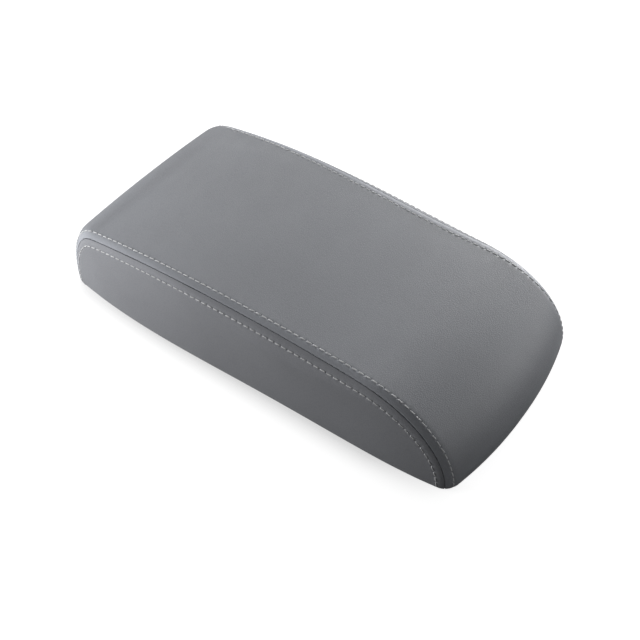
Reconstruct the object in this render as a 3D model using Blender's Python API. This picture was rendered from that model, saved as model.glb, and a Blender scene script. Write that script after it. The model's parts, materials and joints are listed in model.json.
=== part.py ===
# Padded lid and armrest of a centre console.
# Metres. X runs forwards, Y to the left, Z up. The wrapped rim stands on z = 0.

import math

import bmesh
import bpy
import numpy as np
from mathutils import Matrix, Vector

# Outline of the two long seams, seen from the side and from above
SEAM_LENGTH = 0.3027
SEAM_WIDTH = 0.1422
SEAM_HEIGHT = 0.0501
TOP_ARCH = 0.0086
TOP_SWAY = 0.0025
REAR_CURVE = 0.0248
FRONT_CURVE = 0.0625
REAR_POWER = 1.89
FRONT_POWER = 2.14
END_FLARE = 0.0017
SIDE_SWAY = -0.0016

# Rounding across the cover
EDGE_RADIUS = 0.0066
FRONT_EDGE_RADIUS = 0.0119
REAR_EDGE_RADIUS = 0.0160
SEAM_TILT = math.radians(43.9)
FULL_EDGE_RADIUS = 0.0135
FULL_SEAM_TILT = math.radians(23.0)
FULL_PLACE = 0.22
FULL_SPAN = 0.50
CROWN_RISE = 0.0004
FRONT_BOW = 0.0075
REAR_BOW = 0.0016
FRONT_BOW_POWER = 2.66
CROWN_POWER = 2.15
CROWN_EVENNESS = 0.65
WALL_BOW = 0.0061
WALL_BOW_POWER = 4.0
WALL_BOW_SKEW = 0.22

# Cover, foam and moulded carrier
COVER_THICKNESS = 0.0012
SEAM_GAP = 0.0003
SEAT_GAP = 0.0003
SKIRT_WALL = 0.0045
DECK_HEIGHT = 0.0270
DECK_THICKNESS = 0.0030
LINER_HEIGHT = 0.0140
LINER_THICKNESS = 0.0025
LINER_EDGE_GAP = 0.0004
LEDGE_HEIGHT = 0.0015

# Screws and their bosses
SCREW_HEAD_RADIUS = 0.0037
SCREW_HEAD_HEIGHT = 0.0022
SCREW_SHANK_RADIUS = 0.0018
SCREW_LENGTH = 0.0105
SOCKET_RADIUS = 0.0019
SOCKET_DEPTH = 0.0014
SCREW_CLEARANCE = 0.0003
BOSS_WALL = 0.0019
PANEL_SCREW_INSET = 0.0085
PANEL_SCREW_END_INSET = 0.0874
PANEL_SCREWS_PER_SIDE = 3

# Rubber bumpers under the liner
BUMPER_RADIUS = 0.0055
BUMPER_STEM_RADIUS = 0.0022
BUMPER_STEM_LENGTH = 0.0040
BUMPER_BOSS_WALL = 0.0015
BUMPER_BOSS_DROP = 0.0057
BUMPER_END_INSET = 0.0474
BUMPER_SIDE_INSET = 0.0171
BUMPER_FACE_SHARE = 0.7
BUMPER_BEVEL_SHARE = 0.3

# Hinge at the rear
HINGE_SETBACK = 0.0120
HINGE_PIN_RADIUS = 0.0025
HINGE_PIN_HEAD = 0.0012
HINGE_PIN_HEAD_RADIUS = 0.0036
KNUCKLE_WALL = 0.0015
KNUCKLE_LENGTH = 0.0250
LEAF_THICKNESS = 0.0020
LEAF_LENGTH = 0.0320
LEAF_WIDTH = 0.0740
LEAF_CORNER = 0.0050
LEAF_HOLE_RADIUS = 0.0026
LEAF_HOLE_INSET = 0.0110
WASHER_THICKNESS = 0.0022
EAR_THICKNESS = 0.0025
BRACKET_THICKNESS = 0.0020
BRACKET_DEPTH = 0.0270
HINGE_SCREW_INSET = 0.0130
HINGE_SCREW_STEP = 0.0200

# Latch at the front
LATCH_SETBACK = 0.0235
LATCH_PIN_HEIGHT = 0.0079
LATCH_PIN_RADIUS = 0.0015
LATCH_BARREL_WALL = 0.0015
LATCH_WIDTH = 0.0430
PADDLE_REACH = 0.0190
PADDLE_THICKNESS = 0.0021
PADDLE_DROP = 0.0038
PADDLE_LIP = 0.0022
HOOK_WIDTH = 0.0120
HOOK_NOSE = 0.0042
HOOK_STEM = 0.0036
HOOK_NOSE_SHARE = 0.4
HOUSING_REAR = 0.0160
HOUSING_FRONT = 0.0040
LATCH_SCREW_SETBACK = 0.0090
LATCH_SCREW_INSET = 0.0058
SPRING_WIRE_RADIUS = 0.0004
SPRING_COIL_RADIUS = 0.0030
SPRING_TURNS = 4
SPRING_PITCH = 0.0010
SPRING_INSET = 0.0012
SPRING_LEG = 0.0100
SPRING_LEG_TILT = math.radians(40.0)

# Fineness of the faceted surfaces
SEAM_STEPS = 28
FILLET_STEPS = 2
CROWN_STEPS = 8
WALL_STEPS = 2
TURN_WEIGHT = 0.05
ROUND_SIDES = 16
SCREW_SIDES = 12
SHARP_ANGLE = math.radians(35.0)
CUT_MARGIN = 0.0010
LEAST_RADIUS = 0.0004


# Materials

def make_material(name, colour, roughness, metallic=0.0):
    material = bpy.data.materials.new(name)
    material.use_nodes = True
    shader = material.node_tree.nodes["Principled BSDF"]
    shader.inputs["Base Color"].default_value = (*colour, 1.0)
    shader.inputs["Roughness"].default_value = roughness
    shader.inputs["Metallic"].default_value = metallic
    material.diffuse_color = (*colour, 1.0)
    return material


def make_materials():
    return {
        "top_leather": make_material("top_leather", (0.245, 0.248, 0.262), 0.55),
        "side_leather": make_material("side_leather", (0.235, 0.238, 0.252), 0.55),
        "foam": make_material("foam", (0.52, 0.46, 0.30), 0.95),
        "carrier_plastic": make_material("carrier_plastic", (0.022, 0.022, 0.024), 0.55),
        "liner_plastic": make_material("liner_plastic", (0.035, 0.035, 0.038), 0.60),
        "rubber": make_material("rubber", (0.012, 0.012, 0.012), 0.85),
        "steel": make_material("steel", (0.50, 0.50, 0.52), 0.35, 1.0),
        "zinc_steel": make_material("zinc_steel", (0.60, 0.58, 0.50), 0.30, 1.0),
        "dark_steel": make_material("dark_steel", (0.05, 0.05, 0.055), 0.40, 1.0),
        "nylon": make_material("nylon", (0.72, 0.72, 0.68), 0.50),
        "latch_plastic": make_material("latch_plastic", (0.028, 0.028, 0.030), 0.45),
    }


# Objects and Booleans

def add_object(name, bm, material):
    bmesh.ops.recalc_face_normals(bm, faces=bm.faces)
    mesh = bpy.data.meshes.new(name)
    bm.to_mesh(mesh)
    bm.free()
    mesh.shade_smooth()
    mesh.set_sharp_from_angle(angle=SHARP_ANGLE)
    if material:
        mesh.materials.append(material)
    piece = bpy.data.objects.new(name, mesh)
    bpy.context.collection.objects.link(piece)
    return piece


def add_tool(piece, bm, operation):
    label = "cutter" if operation == "DIFFERENCE" else "guide"
    tool = add_object(f"{piece.name}_{label}_{len(piece.modifiers)}", bm, None)
    tool.hide_render = True
    tool.display_type = "WIRE"
    modifier = piece.modifiers.new(label, "BOOLEAN")
    modifier.operation = operation
    modifier.solver = "EXACT"
    modifier.object = tool


# Simple solids, each added to a bmesh

def add_prism(bm, outline, low, high):
    """Adds an outline of (x, z) points drawn out along Y."""
    ends = [[bm.verts.new((x, y, z)) for x, z in outline] for y in (low, high)]
    bm.faces.new(ends[0])
    bm.faces.new(ends[1][::-1])
    for k in range(len(outline)):
        n = (k + 1) % len(outline)
        bm.faces.new((ends[0][n], ends[0][k], ends[1][k], ends[1][n]))


def add_plate(bm, outline, low, high):
    """Adds an outline of (x, y) points drawn out along Z."""
    ends = [[bm.verts.new((x, y, z)) for x, y in outline] for z in (low, high)]
    bm.faces.new(ends[0][::-1])
    bm.faces.new(ends[1])
    for k in range(len(outline)):
        n = (k + 1) % len(outline)
        bm.faces.new((ends[0][k], ends[0][n], ends[1][n], ends[1][k]))


def add_box(bm, low, high):
    corners = ((low[0], low[1]), (high[0], low[1]), (high[0], high[1]), (low[0], high[1]))
    add_plate(bm, corners, low[2], high[2])


def circle(centre, radius, sides=ROUND_SIDES):
    turns = [2.0 * math.pi * (k + 0.5) / sides for k in range(sides)]
    return [(centre[0] + radius * math.cos(a), centre[1] + radius * math.sin(a)) for a in turns]


def rounded_rectangle(low, high, radius, steps=4):
    points = []
    corners = ((high[0], high[1], 0), (low[0], high[1], 1), (low[0], low[1], 2), (high[0], low[1], 3))
    for x, y, quarter in corners:
        sx = 1.0 if quarter in (0, 3) else -1.0
        sy = 1.0 if quarter in (0, 1) else -1.0
        for k in range(steps + 1):
            a = math.pi / 2.0 * (quarter + k / steps)
            points.append((x - sx * radius + radius * math.cos(a), y - sy * radius + radius * math.sin(a)))
    return points


def add_ring(bm, axis_place, inner, outer, low, high):
    """Adds a tube along Y, as two halves of the wall between two circles."""
    rings = []
    for y in (low, high):
        for radius in (inner, outer):
            rings.append([bm.verts.new((x, y, z)) for x, z in circle(axis_place, radius)])
    loops = (rings[0], rings[1], rings[3], rings[2])
    for a, b in zip(loops, loops[1:] + loops[:1]):
        for k in range(ROUND_SIDES):
            n = (k + 1) % ROUND_SIDES
            bm.faces.new((a[k], a[n], b[n], b[k]))


def add_turned(bm, profile, place, sides=ROUND_SIDES, flats=()):
    """Adds a profile of (radius, z) points turned about Z. Rings listed in flats are hexagons."""
    rings = []
    for index, (radius, z) in enumerate(profile):
        if radius == 0.0:
            rings.append([bm.verts.new((place[0], place[1], place[2] + z))])
            continue
        ring = []
        for k in range(sides):
            a = 2.0 * math.pi * k / sides
            r = radius * math.cos(math.pi / 6.0) if index in flats and k % 2 else radius
            ring.append(bm.verts.new((place[0] + r * math.cos(a), place[1] + r * math.sin(a), place[2] + z)))
        rings.append(ring)
    for a, b in zip(rings, rings[1:]):
        for k in range(sides):
            n = (k + 1) % sides
            corners = [a[k % len(a)], a[n % len(a)], b[n % len(b)], b[k % len(b)]]
            bm.faces.new(list(dict.fromkeys(corners)))


# The seam line: a side view with a round rear end, an arched top and a long round front

def seam_curve(count=240):
    quarter = np.linspace(0.0, math.pi / 2.0, 80)
    rear = -SEAM_LENGTH / 2.0
    front = SEAM_LENGTH / 2.0
    rear_x = rear + REAR_CURVE * (1.0 - np.cos(quarter) ** (2.0 / REAR_POWER))
    rear_z = SEAM_HEIGHT * np.sin(quarter) ** (2.0 / REAR_POWER)
    top_x = np.linspace(rear + REAR_CURVE, front - FRONT_CURVE, 62)[1:-1]
    top_z = np.full_like(top_x, SEAM_HEIGHT)
    front_x = front - FRONT_CURVE * (1.0 - np.sin(quarter) ** (2.0 / FRONT_POWER))
    front_z = SEAM_HEIGHT * np.cos(quarter) ** (2.0 / FRONT_POWER)
    x = np.concatenate([rear_x, top_x, front_x])
    z = np.concatenate([rear_z, top_z, front_z])
    length = np.concatenate([[0.0], np.cumsum(np.hypot(np.diff(x), np.diff(z)))])
    even = np.linspace(0.0, length[-1], count)
    x = np.interp(even, length, x)
    z = np.interp(even, length, z)
    share = (x - rear) / SEAM_LENGTH
    lift = TOP_ARCH * 4.0 * share * (1.0 - share) + TOP_SWAY * np.sin(2.0 * math.pi * share)
    z = z + lift * (z / SEAM_HEIGHT) ** 2
    dx = np.gradient(x)
    dz = np.gradient(z)
    size = np.hypot(dx, dz)
    nx = -dz / size
    nz = dx / size
    nx[0], nz[0] = -1.0, 0.0
    nx[-1], nz[-1] = 1.0, 0.0
    return x, z, nx, nz


def seam_stations(steps=SEAM_STEPS):
    """Stations along the seam, closer together where it turns."""
    x, z, nx, nz = seam_curve()
    turn = np.unwrap(np.arctan2(nx, nz))
    cost = np.hypot(np.diff(x), np.diff(z)) + TURN_WEIGHT * np.abs(np.diff(turn))
    total = np.concatenate([[0.0], np.cumsum(cost)])
    even = np.linspace(0.0, total[-1], steps + 1)
    picked = [np.interp(even, total, v) for v in (x, z, nx, nz)]
    picked[0] = picked[0] + X_SHIFT
    return list(zip(*[v.tolist() for v in picked]))


WALL_REACH = EDGE_RADIUS * (1.0 - math.sin(SEAM_TILT))
FULL_WALL_REACH = FULL_EDGE_RADIUS * (1.0 - math.sin(FULL_SEAM_TILT))


def seam_tilt(radius, reach=WALL_REACH):
    """The cover's tilt at the seam, which brings the wall this far outside it."""
    return math.asin(1.0 - reach / radius)


def end_reach(radius, bow):
    """How far the cover stands out past the seam's end, on the centre line."""
    tilt = seam_tilt(radius)
    centre_y = SEAM_WIDTH / 2.0 + END_FLARE - radius * math.sin(tilt)
    start = math.atan2(CROWN_POWER * bow, centre_y)
    return radius * (math.cos(start) - math.cos(tilt)) + bow


FRONT_REACH = end_reach(FRONT_EDGE_RADIUS, FRONT_BOW)
REAR_REACH = end_reach(REAR_EDGE_RADIUS, REAR_BOW)
X_SHIFT = (REAR_REACH - FRONT_REACH) / 2.0
FRONT_X = X_SHIFT + SEAM_LENGTH / 2.0 + FRONT_REACH
REAR_X = -FRONT_X


# The cover's surface at a depth under its outside

def half_width(x):
    share = (x - X_SHIFT) / SEAM_LENGTH
    return SEAM_WIDTH / 2.0 + END_FLARE * 4.0 * share**2 + SIDE_SWAY * math.sin(2.0 * math.pi * share)


def fullness(station):
    """How far the pad swells at its long edges, up to 1 a little in front of the middle."""
    share = 2.0 * (station[0] - X_SHIFT) / SEAM_LENGTH
    return math.exp(-(((share - FULL_PLACE) / FULL_SPAN) ** 2)) * station[3] ** 2


def edge_radius(station):
    front = (FRONT_EDGE_RADIUS - EDGE_RADIUS) * max(station[2], 0.0)
    rear = (REAR_EDGE_RADIUS - EDGE_RADIUS) * max(-station[2], 0.0)
    return EDGE_RADIUS + front + rear + (FULL_EDGE_RADIUS - EDGE_RADIUS) * fullness(station)


def extra_reach(station):
    """How much further than at the ends the wall stands outside the seam."""
    return (FULL_WALL_REACH - WALL_REACH) * fullness(station)


def fillet(station, depth):
    """The fillet's centre, across and along the seam's normal, and its radius at a depth."""
    radius = edge_radius(station)
    tilt = seam_tilt(radius, WALL_REACH + extra_reach(station))
    inside = max(radius - depth, LEAST_RADIUS)
    extra = inside - (radius - depth)
    centre_y = half_width(station[0]) - radius * math.sin(tilt) - extra
    centre_n = -radius * math.cos(tilt) - extra
    return centre_y, centre_n, inside


def seam_angle(station, share_of_gap=0.0):
    """The angle round the fillet at the seam, moved by a share of the seam's gap."""
    radius = edge_radius(station)
    return seam_tilt(radius, WALL_REACH + extra_reach(station)) + share_of_gap * SEAM_GAP / radius


def place_point(station, y, out):
    x, z, nx, nz = station
    return x + nx * out, y, max(z + nz * out, 0.0)


def fillet_point(station, angle, side, depth):
    centre_y, centre_n, radius = fillet(station, depth)
    return place_point(station, side * (centre_y + radius * math.sin(angle)), centre_n + radius * math.cos(angle))


def crown_height(station):
    nx = station[2]
    front = max(nx, 0.0) ** FRONT_BOW_POWER
    rear = max(-nx, 0.0)
    return CROWN_RISE * (1.0 - front - rear) + FRONT_BOW * front + REAR_BOW * rear


def crown_start(station):
    """The angle round the fillet where it runs on into the crown."""
    return math.atan2(CROWN_POWER * crown_height(station), fillet(station, 0.0)[0])


def crown_point(station, share, depth):
    start = crown_start(station)
    centre_y, centre_n, radius = fillet(station, depth)
    y = (centre_y + radius * math.sin(start)) * share
    rise = crown_height(station) * (1.0 - abs(share) ** CROWN_POWER)
    return place_point(station, y, centre_n + radius * math.cos(start) + rise)


def wall_span():
    stations = seam_stations()
    ends = []
    for station in (stations[0], stations[-1]):
        ends.append(fillet_point(station, math.pi / 2.0, 1.0, 0.0)[0])
    return ends


def wall_point(station, down, side, depth):
    """A point of the side wall, down being 0 at the fillet and 1 at the rim."""
    x, y, z = fillet_point(station, math.pi / 2.0, 1.0, depth)
    rear, front = WALL_ENDS
    across = (2.0 * x - front - rear) / (front - rear)
    foot = WALL_BOW * (1.0 + WALL_BOW_SKEW * across) * max(1.0 - abs(across) ** WALL_BOW_POWER, 0.0)
    bow = (foot - extra_reach(station)) * math.sin(math.pi * down / 2.0)
    return x, side * (y + bow), z * (1.0 - down)


WALL_ENDS = wall_span()


def crown_columns(share_of_gap):
    """Columns of the top from the right seam to the left one, as point makers."""
    columns = []
    for side in (-1.0, 1.0):
        arc = []
        for k in range(FILLET_STEPS):
            def arc_point(station, depth, side=side, share=k / FILLET_STEPS):
                first = seam_angle(station, share_of_gap)
                angle = first + (crown_start(station) - first) * share
                return fillet_point(station, angle, side, depth)
            arc.append(arc_point)
        columns.append(arc)
    crown = []
    for k in range(CROWN_STEPS + 1):
        even = 2.0 * k / CROWN_STEPS - 1.0
        share = even * CROWN_EVENNESS - math.cos(math.pi * k / CROWN_STEPS) * (1.0 - CROWN_EVENNESS)
        crown.append(lambda station, depth, share=share: crown_point(station, share, depth))
    return columns[0] + crown + columns[1][::-1]


def side_columns(share_of_gap, side):
    """Columns of one side from its seam down to the rim."""
    arc = []
    for k in range(FILLET_STEPS + 1):
        def arc_point(station, depth, share=k / FILLET_STEPS):
            first = seam_angle(station, share_of_gap)
            angle = first + (math.pi / 2.0 - first) * share
            return fillet_point(station, angle, side, depth)
        arc.append(arc_point)
    wall = []
    for k in range(1, WALL_STEPS + 1):
        wall.append(lambda station, depth, down=k / WALL_STEPS: wall_point(station, down, side, depth))
    return arc, wall


def lift_inside(point):
    """Lifts the inside of the cover off the rim plane, by the cover's thickness at the rim."""
    x, y, z = point
    fade = max(1.0 - z / (COVER_THICKNESS * 8.0), 0.0)
    return x, y, z + COVER_THICKNESS * fade


# The cover's wall turns under the skirt and ends flush with the skirt's inner face
HEM_DEPTH = COVER_THICKNESS + SEAT_GAP + SKIRT_WALL
CORE_DEPTH = COVER_THICKNESS + SEAT_GAP
RECESS_DEPTH = HEM_DEPTH


def add_strip(faces, first, second):
    for k in range(len(first) - 1):
        corners = list(dict.fromkeys((first[k], first[k + 1], second[k + 1], second[k])))
        if len(corners) > 2:
            faces.append(corners)


def build_skin(bm, outer, inner, faces):
    """Joins an outer and an inner sheet with the same faces into one closed skin."""
    top = [bm.verts.new(p) for p in outer]
    under = [bm.verts.new(p) for p in inner]
    edges = {}
    for face in faces:
        bm.faces.new([top[k] for k in face])
        bm.faces.new([under[k] for k in reversed(face)])
        for a, b in zip(face, face[1:] + face[:1]):
            edges[(a, b)] = edges.get((a, b), 0) + 1
    for a, b in edges:
        if (b, a) not in edges:
            bm.faces.new((top[b], top[a], under[a], under[b]))


def hem_point(maker, station, height):
    x, y, _ = maker(station, HEM_DEPTH)
    return x, y, height


def build_top_panel(materials):
    stations = seam_stations()
    columns = crown_columns(-0.5)
    outer = []
    inner = []
    rows = []

    def add_row(points, inside):
        rows.append(list(range(len(outer), len(outer) + len(points))))
        outer.extend(points)
        inner.extend(inside)

    for index, station in enumerate(stations):
        points = [maker(station, 0.0) for maker in columns]
        inside = [lift_inside(maker(station, COVER_THICKNESS)) for maker in columns]
        hem = [hem_point(maker, station, 0.0) for maker in columns]
        hem_inside = [hem_point(maker, station, COVER_THICKNESS) for maker in columns]
        if index == 0:
            add_row(hem, hem_inside)
        add_row(points, inside)
        if index == len(stations) - 1:
            add_row(hem, hem_inside)
    faces = []
    for first, second in zip(rows, rows[1:]):
        add_strip(faces, second, first)
    bm = bmesh.new()
    build_skin(bm, outer, inner, faces)
    return add_object("top_panel", bm, materials["top_leather"])


def build_side_panel(name, side, materials):
    stations = seam_stations()
    arc, wall = side_columns(0.5, side)
    outer = []
    inner = []
    faces = []

    def add_point(point, inside):
        outer.append(point)
        inner.append(inside)
        return len(outer) - 1

    def add_cover_point(maker, station):
        return add_point(maker(station, 0.0), lift_inside(maker(station, COVER_THICKNESS)))

    def add_hem_point(maker, station):
        return add_point(hem_point(maker, station, 0.0), hem_point(maker, station, COVER_THICKNESS))

    rows = []
    for index, station in enumerate(stations):
        row = [add_cover_point(maker, station) for maker in arc]
        if 0 < index < len(stations) - 1:
            row += [add_cover_point(maker, station) for maker in wall]
            row.append(add_hem_point(wall[-1], station))
        else:
            hem = [add_hem_point(maker, station) for maker in arc]
            pair = (row[:], hem) if (index == 0) == (side > 0) else (hem, row[:])
            add_strip(faces, *pair)
            row += [row[-1]] * len(wall) + [hem[-1]]
        rows.append(row)
    for first, second in zip(rows, rows[1:]):
        pair = (first, second) if side < 0 else (second, first)
        add_strip(faces, *pair)
    bm = bmesh.new()
    build_skin(bm, outer, inner, faces)
    return add_object(name, bm, materials["side_leather"])


# The space inside the cover, cut to a layer between two heights

def build_core(depth, low, high):
    stations = seam_stations()
    right_arc, right_wall = side_columns(0.0, -1.0)
    left_arc, left_wall = side_columns(0.0, 1.0)
    top = crown_columns(0.0)
    bm = bmesh.new()
    rows = []
    for index, station in enumerate(stations):
        inner_end = index in (0, len(stations) - 1)

        def make(makers, station=station):
            return [bm.verts.new(maker(station, depth)) for maker in makers]

        right = make(right_arc[1:])
        left = make(left_arc[1:])
        right_down = [right[-1]] * WALL_STEPS if inner_end else make(right_wall)
        left_down = [left[-1]] * WALL_STEPS if inner_end else make(left_wall)
        rows.append(right_down[::-1] + right[::-1] + make(top) + left + left_down)
    for first, second in zip(rows, rows[1:]):
        for k in range(len(first) - 1):
            corners = list(dict.fromkeys((first[k], second[k], second[k + 1], first[k + 1])))
            if len(corners) > 2:
                bm.faces.new(corners)
    base = [row[0] for row in rows] + rows[-1][1:-1] + [row[-1] for row in rows[::-1]] + rows[0][-2:0:-1]
    bm.faces.new(list(dict.fromkeys(base)))
    for height, sign in ((low, -1.0), (high, 1.0)):
        if height is None:
            continue
        parts = bm.verts[:] + bm.edges[:] + bm.faces[:]
        cut = bmesh.ops.bisect_plane(
            bm, geom=parts, dist=1e-7, plane_co=(0.0, 0.0, height), plane_no=(0.0, 0.0, sign), clear_outer=True
        )
        rim = [e for e in cut["geom_cut"] if isinstance(e, bmesh.types.BMEdge)]
        bmesh.ops.edgeloop_fill(bm, edges=rim)
    return bm


# Places worked out from the sizes above

LINER_TOP = LINER_HEIGHT + LINER_THICKNESS
BOSS_FOOT = LINER_TOP + SEAT_GAP
BOSS_RADIUS = SCREW_SHANK_RADIUS + SCREW_CLEARANCE + BOSS_WALL
HOLE_TOP = DECK_HEIGHT - DECK_THICKNESS / 2.0
FRONT_INSIDE = FRONT_X - HEM_DEPTH
REAR_INSIDE = REAR_X + HEM_DEPTH

HINGE_X = REAR_INSIDE + HINGE_SETBACK
KNUCKLE_BORE = HINGE_PIN_RADIUS + SEAT_GAP
KNUCKLE_RADIUS = KNUCKLE_BORE + KNUCKLE_WALL
HINGE_Z = LEDGE_HEIGHT + KNUCKLE_RADIUS
BRACKET_TOP = LINER_HEIGHT - SEAT_GAP
BRACKET_BOTTOM = BRACKET_TOP - BRACKET_THICKNESS
HINGE_EAR_IN = LEAF_WIDTH / 2.0 + SEAT_GAP + WASHER_THICKNESS + SEAT_GAP
HINGE_EAR_OUT = HINGE_EAR_IN + EAR_THICKNESS
HINGE_SCREW_X = HINGE_X + HINGE_SCREW_INSET

LATCH_X = FRONT_INSIDE - LATCH_SETBACK
LATCH_BORE = LATCH_PIN_RADIUS + SEAT_GAP
LATCH_RADIUS = LATCH_BORE + LATCH_BARREL_WALL
LATCH_EAR_IN = LATCH_WIDTH / 2.0 + SEAT_GAP
LATCH_EAR_OUT = LATCH_EAR_IN + EAR_THICKNESS
SPRING_LENGTH = SPRING_PITCH * (SPRING_TURNS + 1)
SPRING_PLACE = HOOK_WIDTH / 2.0 + SPRING_INSET
SPRING_NOTCH = SPRING_LENGTH + 2.0 * SPRING_WIRE_RADIUS + 2.0 * SEAT_GAP


def panel_screw_places():
    places = []
    for side in (1.0, -1.0):
        for k in range(PANEL_SCREWS_PER_SIDE):
            x = 2.0 * (FRONT_X - PANEL_SCREW_END_INSET) * (k / (PANEL_SCREWS_PER_SIDE - 1) - 0.5)
            y = half_width(x) - HEM_DEPTH - PANEL_SCREW_INSET + EDGE_RADIUS * (1.0 - math.sin(SEAM_TILT))
            places.append((x, side * y))
    return places


def hinge_screw_places():
    return [(HINGE_SCREW_X, HINGE_SCREW_STEP * (k - 1.5)) for k in range(4)]


def latch_screw_places():
    y = LATCH_EAR_OUT - LATCH_SCREW_INSET
    return [(LATCH_X - LATCH_SCREW_SETBACK, side * y) for side in (1.0, -1.0)]


def bumper_places():
    out_x = FRONT_X - BUMPER_END_INSET
    out_y = SEAM_WIDTH / 2.0 - BUMPER_SIDE_INSET
    return [(sx * out_x, sy * out_y) for sx in (1.0, -1.0) for sy in (1.0, -1.0)]


def all_screw_places():
    return panel_screw_places() + hinge_screw_places() + latch_screw_places()


# Foam, carrier and liner

def build_foam_pad(materials):
    bm = build_core(CORE_DEPTH, DECK_HEIGHT + SEAT_GAP, None)
    return add_object("foam_pad", bm, materials["foam"])


def build_lid_carrier(materials):
    low = COVER_THICKNESS + SEAT_GAP
    carrier = add_object("lid_carrier", build_core(CORE_DEPTH, low, DECK_HEIGHT), materials["carrier_plastic"])
    add_tool(carrier, build_core(RECESS_DEPTH, None, DECK_HEIGHT - DECK_THICKNESS), "DIFFERENCE")
    bosses = bmesh.new()
    holes = bmesh.new()
    for x, y in all_screw_places():
        top = DECK_HEIGHT - DECK_THICKNESS / 2.0
        add_plate(bosses, circle((x, y), BOSS_RADIUS, SCREW_SIDES), BOSS_FOOT, top)
        add_plate(holes, circle((x, y), BOSS_RADIUS - BOSS_WALL, SCREW_SIDES), BOSS_FOOT - CUT_MARGIN, HOLE_TOP)
    add_tool(carrier, bosses, "UNION")
    add_tool(carrier, holes, "DIFFERENCE")
    return carrier


def build_inner_panel(materials):
    bm = build_core(RECESS_DEPTH + LINER_EDGE_GAP, LINER_HEIGHT, LINER_TOP)
    liner = add_object("inner_panel", bm, materials["liner_plastic"])
    bosses = bmesh.new()
    cuts = bmesh.new()
    hole = BUMPER_STEM_RADIUS + SEAT_GAP
    foot = LINER_HEIGHT - BUMPER_BOSS_DROP
    for x, y in bumper_places():
        middle = LINER_HEIGHT + LINER_THICKNESS / 2.0
        add_plate(bosses, circle((x, y), hole + BUMPER_BOSS_WALL + BUMPER_STEM_RADIUS), foot, middle)
        add_plate(cuts, circle((x, y), hole), foot - CUT_MARGIN, foot + BUMPER_STEM_LENGTH + SEAT_GAP)
    for x, y in all_screw_places():
        ring = circle((x, y), SCREW_SHANK_RADIUS + SCREW_CLEARANCE, SCREW_SIDES)
        add_plate(cuts, ring, LINER_HEIGHT - CUT_MARGIN, LINER_TOP + CUT_MARGIN)
    add_tool(liner, bosses, "UNION")
    add_tool(liner, cuts, "DIFFERENCE")
    return liner


# Screws and bumpers

def build_screw(name, place, seat, materials):
    """A pan head screw driven upwards, its head's flat side at the given seat height."""
    profile = (
        (0.0, SOCKET_DEPTH - SCREW_HEAD_HEIGHT),
        (SOCKET_RADIUS, SOCKET_DEPTH - SCREW_HEAD_HEIGHT),
        (SOCKET_RADIUS, -SCREW_HEAD_HEIGHT),
        (SCREW_HEAD_RADIUS, -SCREW_HEAD_HEIGHT),
        (SCREW_HEAD_RADIUS, 0.0),
        (SCREW_SHANK_RADIUS, 0.0),
        (SCREW_SHANK_RADIUS, SCREW_LENGTH),
        (0.0, SCREW_LENGTH),
    )
    bm = bmesh.new()
    add_turned(bm, profile, (place[0], place[1], seat), SCREW_SIDES, flats=(1, 2))
    return add_object(name, bm, materials["zinc_steel"])


def build_screws(materials):
    for k, place in enumerate(panel_screw_places()):
        build_screw(f"panel_screw_{k + 1}", place, LINER_HEIGHT - SEAT_GAP, materials)
    for k, place in enumerate(hinge_screw_places()):
        build_screw(f"hinge_screw_{k + 1}", place, BRACKET_BOTTOM - SEAT_GAP, materials)
    for k, place in enumerate(latch_screw_places()):
        build_screw(f"latch_screw_{k + 1}", place, BRACKET_BOTTOM - SEAT_GAP, materials)


def build_bumpers(materials):
    top = LINER_HEIGHT - BUMPER_BOSS_DROP - SEAT_GAP - LEDGE_HEIGHT
    for k, (x, y) in enumerate(bumper_places()):
        profile = (
            (0.0, 0.0),
            (BUMPER_RADIUS * BUMPER_FACE_SHARE, 0.0),
            (BUMPER_RADIUS, top * BUMPER_BEVEL_SHARE),
            (BUMPER_RADIUS, top),
            (BUMPER_STEM_RADIUS, top),
            (BUMPER_STEM_RADIUS, top + BUMPER_STEM_LENGTH),
            (0.0, top + BUMPER_STEM_LENGTH),
        )
        bm = bmesh.new()
        add_turned(bm, profile, (x, y, LEDGE_HEIGHT))
        add_object(f"bumper_{k + 1}", bm, materials["rubber"])


# Hinge

def ear_outline(centre, radius, top):
    """An ear seen along the pin: a half round under a straight tab that ends at a plate."""
    turns = [math.pi + math.pi * k / (ROUND_SIDES // 2) for k in range(ROUND_SIDES // 2 + 1)]
    arc = [(centre[0] + radius * math.cos(a), centre[1] + radius * math.sin(a)) for a in turns]
    return arc + [(centre[0] + radius, top), (centre[0] - radius, top)]


def build_hinge_bracket(materials):
    pin = (HINGE_X, HINGE_Z)
    rear = HINGE_X - KNUCKLE_RADIUS
    plate = bmesh.new()
    add_box(plate, (rear, -HINGE_EAR_OUT, BRACKET_BOTTOM), (rear + BRACKET_DEPTH, HINGE_EAR_OUT, BRACKET_TOP))
    bracket = add_object("hinge_bracket", plate, materials["steel"])
    ears = bmesh.new()
    middle = (BRACKET_BOTTOM + BRACKET_TOP) / 2.0
    add_prism(ears, ear_outline(pin, KNUCKLE_RADIUS, middle), HINGE_EAR_IN, HINGE_EAR_OUT)
    add_prism(ears, ear_outline(pin, KNUCKLE_RADIUS, middle), -HINGE_EAR_OUT, -HINGE_EAR_IN)
    add_tool(bracket, ears, "UNION")
    cuts = bmesh.new()
    reach = HINGE_EAR_OUT + CUT_MARGIN
    add_prism(cuts, circle(pin, KNUCKLE_BORE), -reach, reach)
    for place in hinge_screw_places():
        ring = circle(place, SCREW_SHANK_RADIUS + SCREW_CLEARANCE, SCREW_SIDES)
        add_plate(cuts, ring, BRACKET_BOTTOM - CUT_MARGIN, BRACKET_TOP + CUT_MARGIN)
    add_tool(bracket, cuts, "DIFFERENCE")
    return bracket


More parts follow.
